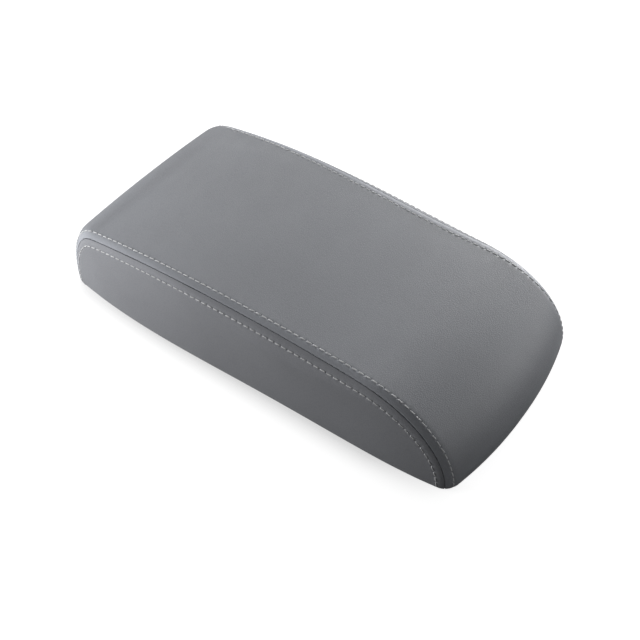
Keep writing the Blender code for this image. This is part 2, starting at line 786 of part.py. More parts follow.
def build_hinge_pin(materials):
    """A plain pin with a head at each end, turned about Z and then laid along Y."""
    seat = HINGE_EAR_OUT + SEAT_GAP
    end = seat + HINGE_PIN_HEAD
    profile = (
        (0.0, -end),
        (HINGE_PIN_HEAD_RADIUS, -end),
        (HINGE_PIN_HEAD_RADIUS, -seat),
        (HINGE_PIN_RADIUS, -seat),
        (HINGE_PIN_RADIUS, seat),
        (HINGE_PIN_HEAD_RADIUS, seat),
        (HINGE_PIN_HEAD_RADIUS, end),
        (0.0, end),
    )
    bm = bmesh.new()
    add_turned(bm, profile, (0.0, 0.0, 0.0))
    pin = add_object("hinge_pin", bm, materials["steel"])
    pin.location = (HINGE_X, 0.0, HINGE_Z)
    pin.rotation_euler = (math.pi / 2.0, 0.0, 0.0)
    return pin


def build_hinge_washers(materials):
    low = LEAF_WIDTH / 2.0 + SEAT_GAP
    for name, first, second in (
        ("hinge_washer_left", low, low + WASHER_THICKNESS),
        ("hinge_washer_right", -low - WASHER_THICKNESS, -low),
    ):
        bm = bmesh.new()
        add_ring(bm, (HINGE_X, HINGE_Z), KNUCKLE_BORE, KNUCKLE_RADIUS, first, second)
        add_object(name, bm, materials["nylon"])


def leaf_hole_places():
    x = HINGE_X + LEAF_LENGTH - LEAF_HOLE_INSET
    y = LEAF_WIDTH / 2.0 - LEAF_HOLE_INSET
    return [(x, -y), (x, 0.0), (x, y)]


def build_hinge_leaf(materials):
    """The leaf that screws to the console, flat under the lid while the lid is shut."""
    half = LEAF_WIDTH / 2.0
    front = HINGE_X + LEAF_LENGTH
    low = LEDGE_HEIGHT
    high = LEDGE_HEIGHT + LEAF_THICKNESS
    plate = bmesh.new()
    rear = HINGE_X + KNUCKLE_RADIUS + SEAT_GAP
    outline = [(rear, half), (rear, -half)]
    outline += [p for p in rounded_rectangle((HINGE_X, -half), (front, half), LEAF_CORNER) if p[0] > rear]
    add_plate(plate, sorted_outline(outline), low, high)
    leaf = add_object("hinge_leaf", plate, materials["steel"])
    knuckles = bmesh.new()
    pin = (HINGE_X, HINGE_Z)
    turns = [math.pi * (2.0 * k / ROUND_SIDES - 0.5) for k in range(ROUND_SIDES)]
    wrap = [(pin[0] + KNUCKLE_RADIUS * math.cos(a), pin[1] + KNUCKLE_RADIUS * math.sin(a)) for a in turns]
    tab = wrap[:1] + [(rear + LEAF_THICKNESS, low), (rear + LEAF_THICKNESS, high)]
    tab += [p for p in wrap[1:] if p[1] > high + SEAT_GAP or p[0] < pin[0]]
    for side in (1.0, -1.0):
        ends = sorted((side * half, side * (half - KNUCKLE_LENGTH)))
        add_prism(knuckles, tab, *ends)
    add_tool(leaf, knuckles, "UNION")
    cuts = bmesh.new()
    add_prism(cuts, circle(pin, KNUCKLE_BORE), -half - CUT_MARGIN, half + CUT_MARGIN)
    for place in leaf_hole_places():
        add_plate(cuts, circle(place, LEAF_HOLE_RADIUS), low - CUT_MARGIN, high + CUT_MARGIN)
    add_tool(leaf, cuts, "DIFFERENCE")
    return leaf


def sorted_outline(points):
    """Puts the points of a convex outline in order around its middle."""
    cx = sum(p[0] for p in points) / len(points)
    cy = sum(p[1] for p in points) / len(points)
    return sorted(points, key=lambda p: math.atan2(p[1] - cy, p[0] - cx))


# Latch

def build_latch_housing(materials):
    pin = (LATCH_X, LATCH_PIN_HEIGHT)
    plate = bmesh.new()
    add_box(
        plate,
        (LATCH_X - HOUSING_REAR, -LATCH_EAR_OUT, BRACKET_BOTTOM),
        (LATCH_X + HOUSING_FRONT, LATCH_EAR_OUT, BRACKET_TOP),
    )
    housing = add_object("latch_housing", plate, materials["dark_steel"])
    ears = bmesh.new()
    middle = (BRACKET_BOTTOM + BRACKET_TOP) / 2.0
    add_prism(ears, ear_outline(pin, LATCH_RADIUS, middle), LATCH_EAR_IN, LATCH_EAR_OUT)
    add_prism(ears, ear_outline(pin, LATCH_RADIUS, middle), -LATCH_EAR_OUT, -LATCH_EAR_IN)
    add_tool(housing, ears, "UNION")
    cuts = bmesh.new()
    reach = LATCH_EAR_OUT + CUT_MARGIN
    add_prism(cuts, circle(pin, LATCH_BORE), -reach, reach)
    for place in latch_screw_places():
        ring = circle(place, SCREW_SHANK_RADIUS + SCREW_CLEARANCE, SCREW_SIDES)
        add_plate(cuts, ring, BRACKET_BOTTOM - CUT_MARGIN, BRACKET_TOP + CUT_MARGIN)
    add_tool(housing, cuts, "DIFFERENCE")
    return housing


def build_latch_pin(materials):
    bm = bmesh.new()
    end = LATCH_EAR_OUT + EAR_THICKNESS / 2.0
    add_prism(bm, circle((LATCH_X, LATCH_PIN_HEIGHT), LATCH_PIN_RADIUS), -end, end)
    return add_object("latch_pin", bm, materials["steel"])


def build_latch_lever(materials):
    """Finger paddle and hook in one moulding, turning on the latch pin."""
    x, z = LATCH_X, LATCH_PIN_HEIGHT
    half = LATCH_WIDTH / 2.0
    top = z - PADDLE_DROP
    bottom = top - PADDLE_THICKNESS
    paddle = bmesh.new()
    outline = [
        (x - LATCH_BORE, bottom),
        (x + PADDLE_REACH, bottom),
        (x + PADDLE_REACH, top + PADDLE_LIP),
        (x + PADDLE_REACH - PADDLE_THICKNESS, top + PADDLE_LIP),
        (x + PADDLE_REACH - PADDLE_THICKNESS, top),
        (x - LATCH_BORE, top),
    ]
    add_prism(paddle, outline, -half, half)
    lever = add_object("latch_lever", paddle, materials["latch_plastic"])
    barrel = bmesh.new()
    notch = SPRING_PLACE + SPRING_NOTCH
    middle = (top + bottom) / 2.0
    add_prism(barrel, barrel_outline((x, z), middle), -half, SPRING_PLACE)
    add_prism(barrel, barrel_outline((x, z), middle), notch, half)
    add_tool(lever, barrel, "UNION")
    hook = bmesh.new()
    low = LEDGE_HEIGHT + SEAT_GAP
    nose_top = bottom + PADDLE_THICKNESS * HOOK_NOSE_SHARE
    hook_outline = [
        (x + HOOK_STEM / 2.0, low),
        (x + HOOK_STEM / 2.0, middle),
        (x - LATCH_BORE - CUT_MARGIN, middle),
        (x - HOOK_STEM / 2.0 - HOOK_NOSE, nose_top),
        (x - HOOK_STEM / 2.0 - HOOK_NOSE, low),
    ]
    add_prism(hook, hook_outline, -HOOK_WIDTH / 2.0, HOOK_WIDTH / 2.0)
    add_tool(lever, hook, "UNION")
    bore = bmesh.new()
    add_prism(bore, circle((x, z), LATCH_BORE), -half - CUT_MARGIN, half + CUT_MARGIN)
    add_tool(lever, bore, "DIFFERENCE")
    return lever


def barrel_outline(centre, foot):
    """A round barrel over a straight foot that runs down into the paddle."""
    turns = [math.pi * k / (ROUND_SIDES // 2) for k in range(ROUND_SIDES // 2 + 1)]
    arc = [(centre[0] + LATCH_RADIUS * math.cos(a), centre[1] + LATCH_RADIUS * math.sin(a)) for a in turns]
    return arc + [(centre[0] - LATCH_BORE, foot), (centre[0] + LATCH_BORE, foot)]


def spring_route():
    """Centre line of the torsion spring: a leg over the paddle, the coil, and a leg to the housing."""
    steps = 12
    start = -math.pi / 2.0
    finish = start - 2.0 * math.pi * SPRING_TURNS - SPRING_LEG_TILT
    route = [(SPRING_LEG, 0.0, -SPRING_COIL_RADIUS)]
    count = int(steps * (SPRING_TURNS + 0.5))
    for k in range(count + 1):
        a = start + (finish - start) * k / count
        y = SPRING_LENGTH * k / count
        route.append((SPRING_COIL_RADIUS * math.cos(a), y, SPRING_COIL_RADIUS * math.sin(a)))
    last = route[-1]
    climb = BRACKET_BOTTOM - SEAT_GAP - SPRING_WIRE_RADIUS * 2.0 - LATCH_PIN_HEIGHT - last[2]
    route.append((last[0] - climb / math.tan(SPRING_LEG_TILT), last[1], last[2] + climb))
    return route


def build_latch_spring(materials):
    shape = bpy.data.curves.new("latch_spring", "CURVE")
    shape.dimensions = "3D"
    shape.bevel_depth = SPRING_WIRE_RADIUS
    shape.bevel_resolution = 2
    shape.use_fill_caps = True
    spline = shape.splines.new("POLY")
    route = spring_route()
    spline.points.add(len(route) - 1)
    for point, place in zip(spline.points, route):
        point.co = (*place, 1.0)
    shape.materials.append(materials["steel"])
    spring = bpy.data.objects.new("latch_spring", shape)
    bpy.context.collection.objects.link(spring)
    spring.location = (LATCH_X, SPRING_PLACE + SPRING_WIRE_RADIUS + SEAT_GAP, LATCH_PIN_HEIGHT)
    return spring


def add_pivot(name, place, children):
    """Parents moving pieces to an empty on their joint's axis, leaving them where they are."""
    pivot = bpy.data.objects.new(name, None)
    pivot.location = place
    bpy.context.collection.objects.link(pivot)
    for child in children:
        child.parent = pivot
        child.matrix_parent_inverse = Matrix.Translation(Vector(place)).inverted()


def build_armrest():
    for piece in list(bpy.data.objects):
        bpy.data.objects.remove(piece, do_unlink=True)
    materials = make_materials()
    build_top_panel(materials)
    build_side_panel("left_side_panel", 1.0, materials)
    build_side_panel("right_side_panel", -1.0, materials)
    build_foam_pad(materials)
    build_lid_carrier(materials)
    build_inner_panel(materials)
    build_screws(materials)
    build_bumpers(materials)
    build_hinge_bracket(materials)
    build_hinge_pin(materials)
    build_hinge_washers(materials)
    leaf = build_hinge_leaf(materials)
    build_latch_housing(materials)
    build_latch_pin(materials)
    lever = build_latch_lever(materials)
    spring = build_latch_spring(materials)
    tools = [p for p in bpy.data.objects if p.name.startswith(("hinge_leaf_", "latch_lever_"))]
    on_leaf = [leaf] + [p for p in tools if p.name.startswith("hinge_leaf_")]
    on_lever = [lever, spring] + [p for p in tools if p.name.startswith("latch_lever_")]
    add_pivot("hinge_axis", (HINGE_X, 0.0, HINGE_Z), on_leaf)
    add_pivot("latch_axis", (LATCH_X, 0.0, LATCH_PIN_HEIGHT), on_lever)


build_armrest()
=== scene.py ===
# Looks of the padded console lid: sewn cover, thread, foam, liner, fasteners, hinge and latch.
import json
import math
from contextlib import contextmanager

import bmesh
import bpy
import numpy as np
from mathutils import Matrix, Vector


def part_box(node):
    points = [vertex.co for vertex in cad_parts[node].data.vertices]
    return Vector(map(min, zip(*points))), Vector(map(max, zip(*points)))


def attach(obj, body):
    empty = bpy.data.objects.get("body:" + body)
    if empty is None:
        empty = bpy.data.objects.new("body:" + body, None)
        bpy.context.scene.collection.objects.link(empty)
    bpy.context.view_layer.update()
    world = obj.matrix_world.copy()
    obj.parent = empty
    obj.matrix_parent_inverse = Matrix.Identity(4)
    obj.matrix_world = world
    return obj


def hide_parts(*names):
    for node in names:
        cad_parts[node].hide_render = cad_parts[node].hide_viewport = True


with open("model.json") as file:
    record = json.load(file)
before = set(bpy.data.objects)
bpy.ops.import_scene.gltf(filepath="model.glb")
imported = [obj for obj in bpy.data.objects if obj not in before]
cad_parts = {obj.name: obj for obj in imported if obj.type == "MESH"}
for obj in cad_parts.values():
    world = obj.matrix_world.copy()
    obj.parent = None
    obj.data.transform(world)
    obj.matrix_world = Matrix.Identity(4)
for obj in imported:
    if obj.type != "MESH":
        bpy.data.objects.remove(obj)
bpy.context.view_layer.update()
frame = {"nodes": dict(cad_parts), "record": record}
nodes = frame["nodes"]
bodyOf = {node: body for body, names in frame["record"]["behaviour"]["bodies"].items() for node in names}


# Node and material helpers

def feed(tree, node, values):
    # links an input to a socket, or sets it to a plain value
    for name, value in values.items():
        if isinstance(value, bpy.types.NodeSocket):
            tree.links.new(value, node.inputs[name])
        else:
            node.inputs[name].default_value = value


def addNode(tree, kind, place, values=None, **settings):
    node = tree.nodes.new(kind)
    node.location = (place[0] * 200, place[1] * 160)
    for name, value in settings.items():
        setattr(node, name, value)
    feed(tree, node, values or {})
    return node


def newMaterial(name, colour, roughness, metallic=0.0, specular=0.5, sheen=0.0):
    material = bpy.data.materials.new(name)
    material.use_nodes = True
    tree = material.node_tree
    shader = tree.nodes["Principled BSDF"]
    shader.location = (900, 0)
    tree.nodes["Material Output"].location = (1200, 0)
    feed(tree, shader, {
        "Base Color": (*colour, 1.0), "Roughness": roughness, "Metallic": metallic,
        "Specular IOR Level": specular, "Sheen Weight": sheen,
    })
    coordinates = addNode(tree, "ShaderNodeTexCoord", (-6, 0))
    return material, tree, shader, coordinates.outputs["Object"]


def addNoise(tree, where, scale, detail, roughness, place):
    values = {"Vector": where, "Scale": scale, "Detail": detail, "Roughness": roughness}
    return addNode(tree, "ShaderNodeTexNoise", place, values).outputs["Fac"]


def addRange(tree, value, low, high, toLow, toHigh, place):
    values = {"Value": value, "From Min": low, "From Max": high, "To Min": toLow, "To Max": toHigh}
    return addNode(tree, "ShaderNodeMapRange", place, values).outputs["Result"]


def addMath(tree, operation, first, second, place):
    return addNode(tree, "ShaderNodeMath", place, {0: first, 1: second}, operation=operation).outputs["Value"]


def addTint(tree, share, first, second, place=(1, 2)):
    values = {"Factor": share, "A": (*first, 1.0), "B": (*second, 1.0)}
    return addNode(tree, "ShaderNodeMix", place, values, data_type="RGBA").outputs["Result"]


def addBump(tree, shader, height, strength, distance):
    values = {"Height": height, "Strength": strength, "Distance": distance}
    feed(tree, shader, {"Normal": addNode(tree, "ShaderNodeBump", (3, -2), values).outputs["Normal"]})


noiseSpan = (0.3, 0.7)  # where most of a noise's values lie


def scaled(colour, factor):
    return tuple(min(channel * factor, 1.0) for channel in colour)


# Mesh helpers

mergeDistance = 1e-6  # points this close are one


def newMesh(name, points, faces, edges=()):
    mesh = bpy.data.meshes.new(name)
    mesh.from_pydata(points, edges, faces)
    return mesh


def addPiece(name, mesh):
    piece = bpy.data.objects.new(name, mesh)
    bpy.context.collection.objects.link(piece)
    return piece


@contextmanager
def editing(mesh):
    # opens a mesh for bmesh tools and writes it back
    bm = bmesh.new()
    bm.from_mesh(mesh)
    yield bm
    bm.to_mesh(mesh)
    bm.free()


def reportMesh(name, bm):
    openEdges = sum(1 for edge in bm.edges if len(edge.link_faces) != 2)
    print(name, "faces:", len(bm.faces), "open edges:", openEdges)


def smoothByAngle(mesh, degrees):
    mesh.shade_smooth()
    with editing(mesh) as bm:
        for edge in bm.edges:
            edge.smooth = len(edge.link_faces) == 2 and edge.calc_face_angle(0.0) < math.radians(degrees)


def gridFaces(index):
    # quads over a table of point numbers
    corners = (index[:-1, :-1], index[1:, :-1], index[1:, 1:], index[:-1, 1:])
    return np.stack([c.ravel() for c in corners], axis=1).tolist()


def ringFaces(rings, sides):
    # quads around a body, from each ring of points to the next
    faces = []
    for ring in range(rings):
        for side in range(sides):
            a, b = ring * sides + side, ring * sides + (side + 1) % sides
            faces.append((a, b, b + sides, a + sides))
    return faces


# Grained cover, one tone for the top and one for the sides, the sides' a little darker as painted shade

leather = {
    "topColour": (0.256, 0.265, 0.287),
    # the sides' colour is the top's made a little darker, as painted shade
    "sideColour": (0.254, 0.259, 0.277),
    "toneSpread": 0.06,      # slow change of tone over the hide
    "toneScale": 14.0,
    "roughness": 0.50,
    "roughnessSpread": 0.10,
    "roughnessScale": 60.0,
    "topSpecular": 0.58,
    "sideSpecular": 0.22,
    "pebbleScale": 880.0,    # about 1.1 mm across
    "pebbleChance": 0.9,
    "creaseWidth": 0.22,     # of a pebble's size
    "driftScale": 420.0,     # noise that bends the pebbles out of their straight edges
    "driftReach": 0.0008,
    "wrinkleScale": 2300.0,
    "wrinkleShare": 0.5,
    "grainDepth": 0.00009,
    "grainStrength": 0.55,
    "pebblePolish": 0.05,    # a pebble's crown is this much less rough than its creases
    "paintedCreaseShade": 0.10,      # and painted shade makes the creases this much darker
    "paintedGrooveTone": 0.97,      # painted shade: tone kept at the bottom of the seam
    "paintedJoinTone": 0.34,        # and, as deeper painted shade, where a joining stitch pulls it in
    "holeTone": 0.08,        # painted shade makes the needle holes this much darker
    "topBandPaintedLight": 0.34,     # painted light makes the hide between the rows this much paler
    "sideBandPaintedLight": 0.08,
    "bandGloss": 0.25,       # and keeps this share of the gloss
    "bandEdge": 0.0003,      # how softly it ends at the row
}


def makeLeather(name, part):
    colour, specular, bandPaintedLight = (leather[part + key] for key in ("Colour", "Specular", "BandPaintedLight"))
    material, tree, shader, where = newMaterial(name, colour, leather["roughness"], specular=specular)
    slow = addNoise(tree, where, leather["toneScale"], 3.0, 0.55, (-4, 3))
    share = addRange(tree, slow, *noiseSpan, 0.0, 1.0, (-2, 3))
    spread = leather["toneSpread"]
    hide = addTint(tree, share, scaled(colour, 1.0 - spread), scaled(colour, 1.0 + spread), (0, 3))
    values = {"Vector": where, "Scale": leather["driftScale"], "Detail": 2.0}
    drift = addNode(tree, "ShaderNodeTexNoise", (-6, -2), values)
    values = {0: drift.outputs["Color"], "Scale": leather["driftReach"]}
    shift = addNode(tree, "ShaderNodeVectorMath", (-5, -2), values, operation="SCALE")
    values = {0: where, 1: shift.outputs["Vector"]}
    warp = addNode(tree, "ShaderNodeVectorMath", (-5, -1), values, operation="ADD")
    values = {"Vector": warp.outputs["Vector"], "Scale": leather["pebbleScale"]}
    values["Randomness"] = leather["pebbleChance"]
    pebble = addNode(tree, "ShaderNodeTexVoronoi", (-4, -1), values, feature="DISTANCE_TO_EDGE")
    cell = addRange(tree, pebble.outputs["Distance"], 0.0, leather["creaseWidth"], 0.0, 1.0, (-3, -1))
    wrinkle = addNoise(tree, where, leather["wrinkleScale"], 2.0, 0.6, (-4, -3))
    wrinkle = addMath(tree, "MULTIPLY", wrinkle, leather["wrinkleShare"], (-2, -3))
    height = addMath(tree, "ADD", cell, wrinkle, (-1, -2))
    addBump(tree, shader, height, leather["grainStrength"], leather["grainDepth"])
    patch = addNoise(tree, where, leather["roughnessScale"], 3.0, 0.6, (-4, 1))
    low = leather["roughness"] - leather["roughnessSpread"] / 2.0
    high = leather["roughness"] + leather["roughnessSpread"] / 2.0
    rough = addRange(tree, patch, *noiseSpan, low, high, (-2, 1))
    polish = addMath(tree, "MULTIPLY", cell, leather["pebblePolish"], (-1, 0))
    # the seam's painted shade and light, one value per point: darker groove and holes, paler band between the
    # rows
    sewn = addNode(tree, "ShaderNodeAttribute", (-4, 5), attribute_name="paintedSeamShading").outputs["Fac"]
    gloss = addRange(tree, sewn, 1.0, 1.0 + bandPaintedLight, specular, specular * leather["bandGloss"], (0, 6))
    # painted shade in the pebbles' creases
    creaseShadeShare = addMath(tree, "SUBTRACT", 1.0, cell, (-2, 0))
    creaseShadeShare = addMath(tree, "MULTIPLY", creaseShadeShare, leather["paintedCreaseShade"], (-1, 1))
    values = {0: hide, "Scale": addMath(tree, "SUBTRACT", sewn, creaseShadeShare, (0, 5))}
    shaded = addNode(tree, "ShaderNodeVectorMath", (2, 3), values, operation="SCALE")
    feed(tree, shader, {
        "Base Color": shaded.outputs["Vector"],
        "Roughness": addMath(tree, "SUBTRACT", rough, polish, (0, 1)),
        "Specular IOR Level": gloss,
    })
    return material


# The cover's shape, as the solids have it

cover = {
    "seamLength": 0.3027,
    "seamWidth": 0.1422,
    "seamHeight": 0.0501,
    "topArch": 0.0086,
    "topSway": 0.0025,
    "rearCurve": 0.0248,
    "frontCurve": 0.0625,
    "rearPower": 1.89,
    "frontPower": 2.14,
    "endFlare": 0.0017,
    "sideSway": -0.0016,
    "edgeRadius": 0.0066,
    "frontEdgeRadius": 0.0119,
    "rearEdgeRadius": 0.0160,
    "seamTilt": math.radians(43.9),
    "fullEdgeRadius": 0.0135,    # where the pad is fullest at its long edges
    "fullSeamTilt": math.radians(23.0),
    "fullPlace": 0.22,
    "fullSpan": 0.50,
    "crownRise": 0.0004,
    "frontBow": 0.0075,
    "rearBow": 0.0016,
    "frontBowPower": 2.66,
    "crownPower": 2.15,
    "wallBow": 0.0061,
    "wallBowPower": 4.0,
    "wallBowSkew": 0.22,
    "leastLeanHeight": 0.004,    # a lower wall than this leans as this one does
    "easeLength": 0.0032,        # leather eases the joints of the curves
    "easeFrom": 0.010,           # and leaves the ends at the rim alone
    "thickness": 0.0012,
    "hemDepth": 0.0060,
    "rimRound": 0.0013,
}

grid = {  # how finely the cover is drawn
    "endSteps": 900,             # along each end's curve of the seam
    "topSteps": 600,
    "seamSteps": 4000,
    "topArcPoints": 14,
    "sideArcPoints": 12,
    "sectionPoints": 40,
    "rowSteps": 900,
    "sideWeight": 0.3,           # of the sideways direction, in telling outward from inward
    "pathSteps": 1500,
    "slopeSpan": 0.0006,         # the cover's slope is read this far to both sides of a row
    "nearRim": 0.00022,
    "rimZone": 0.0020,
    "topColumns": 22,
    "wallColumns": 26,
    "narrowBelow": 1.5,          # the sewn band narrows where the wall is lower than this many of it
    "liningStep": 0.004,
    "liningSkip": 7,             # the lining has no columns for the seam's own relief
    "hemShares": (0.3, 0.65, 1.0),
    "liningHemShares": (0.5, 1.0),
    "meetDistance": 3e-7,
}

wallReach = cover["edgeRadius"] * (1.0 - math.sin(cover["seamTilt"]))
extraReach = cover["fullEdgeRadius"] * (1.0 - math.sin(cover["fullSeamTilt"])) - wallReach
otherSide = np.array([1.0, -1.0, 1.0])


def seamTiltAt(radius, extra=0.0):
    return np.arcsin(1.0 - (wallReach + extra) / radius)


def endReach(radius, bow):
    tilt = seamTiltAt(radius)
    centreY = cover["seamWidth"] / 2.0 + cover["endFlare"] - radius * math.sin(tilt)
    start = math.atan2(cover["crownPower"] * bow, centreY)
    return radius * (math.cos(start) - math.cos(tilt)) + bow


frontReach = endReach(cover["frontEdgeRadius"], cover["frontBow"])
rearReach = endReach(cover["rearEdgeRadius"], cover["rearBow"])
seamMiddle = (rearReach - frontReach) / 2.0


def seamOutline():
    # side view of the seam: the rear curve, the arched top and the long front curve
    quarter = np.linspace(0.0, math.pi / 2.0, grid["endSteps"])
    rear, front = -cover["seamLength"] / 2.0, cover["seamLength"] / 2.0
    height = cover["seamHeight"]
    rearX = rear + cover["rearCurve"] * (1.0 - np.cos(quarter) ** (2.0 / cover["rearPower"]))
    rearZ = height * np.sin(quarter) ** (2.0 / cover["rearPower"])
    topX = np.linspace(rear + cover["rearCurve"], front - cover["frontCurve"], grid["topSteps"])[1:-1]
    frontX = front - cover["frontCurve"] * (1.0 - np.sin(quarter) ** (2.0 / cover["frontPower"]))
    frontZ = height * np.cos(quarter) ** (2.0 / cover["frontPower"])
    x = np.concatenate([rearX, topX, frontX])
    z = np.concatenate([rearZ, np.full_like(topX, height), frontZ])
    share = (x - rear) / cover["seamLength"]
    lift = cover["topArch"] * 4.0 * share * (1.0 - share) + cover["topSway"] * np.sin(2.0 * math.pi * share)
    return x, z + lift * (z / height) ** 2


def denseSeam():
    x, z = seamOutline()
    length = np.concatenate([[0.0], np.cumsum(np.hypot(np.diff(x), np.diff(z)))])
    even = np.linspace(0.0, length[-1], grid["seamSteps"])
    x, z = np.interp(even, length, x), np.interp(even, length, z)
    reach = int(cover["easeLength"] / (even[1] - even[0]))
    weights = np.exp(-0.5 * (np.arange(-3 * reach, 3 * reach + 1) / reach) ** 2)
    weights /= weights.sum()
    eased = [np.convolve(np.pad(v, 3 * reach, mode="edge"), weights, mode="valid") for v in (x, z)]
    share = np.clip(np.minimum(even, even[-1] - even) / cover["easeFrom"] - 0.5, 0.0, 1.0)
    share = share**2 * (3.0 - 2.0 * share)
    x, z = x + (eased[0] - x) * share, z + (eased[1] - z) * share
    dx, dz = np.gradient(x), np.gradient(z)
    nx, nz = -dz / np.hypot(dx, dz), dx / np.hypot(dx, dz)
    nx[0], nz[0], nx[-1], nz[-1] = -1.0, 0.0, 1.0, 0.0
    return {"length": even, "x": x + seamMiddle, "z": z, "nx": nx, "nz": nz}


seam = denseSeam()
seamTotal = seam["length"][-1]


def stationsAt(lengths):
    # the section's frame and measures at each length along the seam
    found = {name: np.interp(lengths, seam["length"], seam[name]) for name in ("x", "z", "nx", "nz")}
    size = np.hypot(found["nx"], found["nz"])
    found["nx"], found["nz"] = found["nx"] / size, found["nz"] / size
    front, rear = np.clip(found["nx"], 0.0, 1.0), np.clip(-found["nx"], 0.0, 1.0)
    share = (found["x"] - seamMiddle) / cover["seamLength"]
    half = cover["seamWidth"] / 2.0 + cover["endFlare"] * 4.0 * share**2
    found["half"] = half + cover["sideSway"] * np.sin(2.0 * math.pi * share)
    edge = cover["edgeRadius"]
    frontExtra, rearExtra = cover["frontEdgeRadius"] - edge, cover["rearEdgeRadius"] - edge
    found["radius"] = edge + frontExtra * front + rearExtra * rear
    fullness = np.exp(-(((2.0 * share - cover["fullPlace"]) / cover["fullSpan"]) ** 2)) * found["nz"] ** 2
    found["radius"] = found["radius"] + (cover["fullEdgeRadius"] - edge) * fullness
    found["extra"] = extraReach * fullness
    found["tilt"] = seamTiltAt(found["radius"], found["extra"])
    frontShare = front ** cover["frontBowPower"]
    rise = cover["crownRise"] * (1.0 - frontShare - rear)
    found["crown"] = rise + cover["frontBow"] * frontShare + cover["rearBow"] * rear
    found["centreY"] = found["half"] - found["radius"] * np.sin(found["tilt"])
    found["centreOut"] = -found["radius"] * np.cos(found["tilt"])
    found["start"] = np.arctan2(cover["crownPower"] * found["crown"], found["centreY"])
    return found


def wallEnds():
    ends = stationsAt(np.array([0.0, seamTotal]))
    return ends["x"] + ends["nx"] * ends["centreOut"]


wallRear, wallFront = wallEnds()


def sectionPoints(st, i, y, out):
    return np.column_stack([st["x"][i] + st["nx"][i] * out, y, st["z"][i] + st["nz"][i] * out])


def topSection(st, i, depth):
    # points of one half section, from the seam to the centre line
    radius = st["radius"][i] - depth
    angles = np.linspace(st["tilt"][i], st["start"][i], grid["topArcPoints"])
    arcY = st["centreY"][i] + radius * np.sin(angles)
    arcOut = st["centreOut"][i] + radius * np.cos(angles)
    share = np.linspace(1.0, 0.0, grid["sectionPoints"])[1:]
    crownY = arcY[-1] * share
    crownOut = arcOut[-1] + st["crown"][i] * (1.0 - share ** cover["crownPower"])
    return sectionPoints(st, i, np.concatenate([arcY, crownY]), np.concatenate([arcOut, crownOut]))


def sideSection(st, i, depth):
    # points from the seam down the side wall to the rim; the round stops where the wall leans out
    radius = st["radius"][i] - depth
    footX = st["x"][i] + st["nx"][i] * st["centreOut"][i]
    height = st["z"][i] + st["nz"][i] * st["centreOut"][i]
    across = (2.0 * footX - wallFront - wallRear) / (wallFront - wallRear)
    spread = 1.0 - min(abs(across), 1.0) ** cover["wallBowPower"]
    bow = cover["wallBow"] * (1.0 + cover["wallBowSkew"] * across) * spread - st["extra"][i]
    lean = math.atan2(bow * math.pi / 2.0, max(height, cover["leastLeanHeight"]))
    angles = np.linspace(st["tilt"][i], math.pi / 2.0 - lean, grid["sideArcPoints"])
    y = st["centreY"][i] + radius * np.sin(angles)
    arc = sectionPoints(st, i, y, st["centreOut"][i] + radius * np.cos(angles))
    arc[:, 2] = np.maximum(arc[:, 2], 0.0)
    x, wallY, z = arc[-1]
    reach = st["centreY"][i] + radius + bow - wallY
    down = np.linspace(0.0, 1.0, grid["sectionPoints"])[1:]
    wallX = x + (footX - x) * down
    wall = np.column_stack([wallX, wallY + reach * np.sin(math.pi * down / 2.0), z * (1.0 - down)])
    return np.vstack([arc, wall])


def pathLengths(points):
    return np.concatenate([[0.0], np.cumsum(np.linalg.norm(np.diff(points, axis=0), axis=1))])


def pointsAt(distances, lengths, points):
    return np.column_stack([np.interp(distances, lengths, points[:, k]) for k in range(3)])


def alongSection(points, distances):
    return pointsAt(distances, pathLengths(points), points)


def sectionLength(points):
    return float(np.linalg.norm(np.diff(points, axis=0), axis=1).sum())


# Sewing: two rows beside each seam, and the joining stitches down in its groove

sewing = {
    "rowOffset": 0.00535,
    "rearOffset": 0.0036,         # of the side row where it runs down the rear end
    "rearReach": (0.030, 0.060),  # along the seam from the rear rim, where the row eases over
    "pitch": 0.0047,
    "threadRadius": 0.00034,
    "stitchShare": 0.84,          # of the pitch, of which the ends dip out of sight
    "stitchRise": 0.00010,        # middle of the thread above the cover
    "stitchDip": 0.00065,         # how far the ends dip
    "dipPower": 9,                # how late along a stitch they do
    "slant": math.radians(3.0),
    "slantSpread": math.radians(2.0),
    "grooveDepth": 0.0006,
    "grooveHalfWidth": 0.00020,
    "grooveShade": 1.25,          # the shade in the groove is this much wider
    "holeDepth": 0.00011,
    "holeLength": 0.00060,
    "holeWidth": 0.00055,
    "holeShadeLength": 0.0005,
    "holeShadeWidth": 0.0004,
    "puckerRise": 0.00006,
    "puckerWidth": 0.0022,
    "joinPitch": 0.00225,
    "joinRadius": 0.00020,
    "joinHalfSpan": 0.00038,
    "joinDepth": 0.00045,
    "joinBend": 0.00008,
    "joinSlantSpread": math.radians(8.0),
    "joinWiden": 0.25,            # the groove opens this much at each joining stitch
    "flapDepth": 0.0009,          # the panel's edge below the bottom of the groove
    "endMargin": 0.0012,          # the rows stop this far above the rim
}
softForms = (  # measured from, place, width, rise
    ("seam", 0.00075, 0.00032, 0.00004),  # folded edge of each panel beside the groove
    ("seam", 0.0024, 0.0015, 0.00005),    # soft ridge between the seam and the row
    ("row", 0.0, 0.0007, -0.00006),       # valley under the stitches
    ("row", 0.0024, 0.0016, 0.00003),     # swelling on the row's outer side
)
bandMillimetres = (
    0, .10, .20, .31, .44, .60, .78, 1.0, 1.4, 1.9, 2.5, 3.1, 3.7, 4.2, 4.55, 4.85, 5.1, 5.35, 5.6, 5.85,
    6.15, 6.5, 7.0, 7.7, 8.6, 9.8, 11.2, 13.0,
)  # columns of the cover's mesh, from the seam
bandDistances = np.array(bandMillimetres) / 1000.0
pitchMillimetres = (-0.7, -0.4, -0.15, 0.15, 0.4, 0.7, 1.25, 1.85)  # its rows, from each hole


def rowOffsetAt(lengths, section):
    # distance of a row of stitches from the seam
    if section is topSection:
        return np.full(len(lengths), sewing["rowOffset"])
    return np.interp(lengths, sewing["rearReach"], (sewing["rearOffset"], sewing["rowOffset"]))


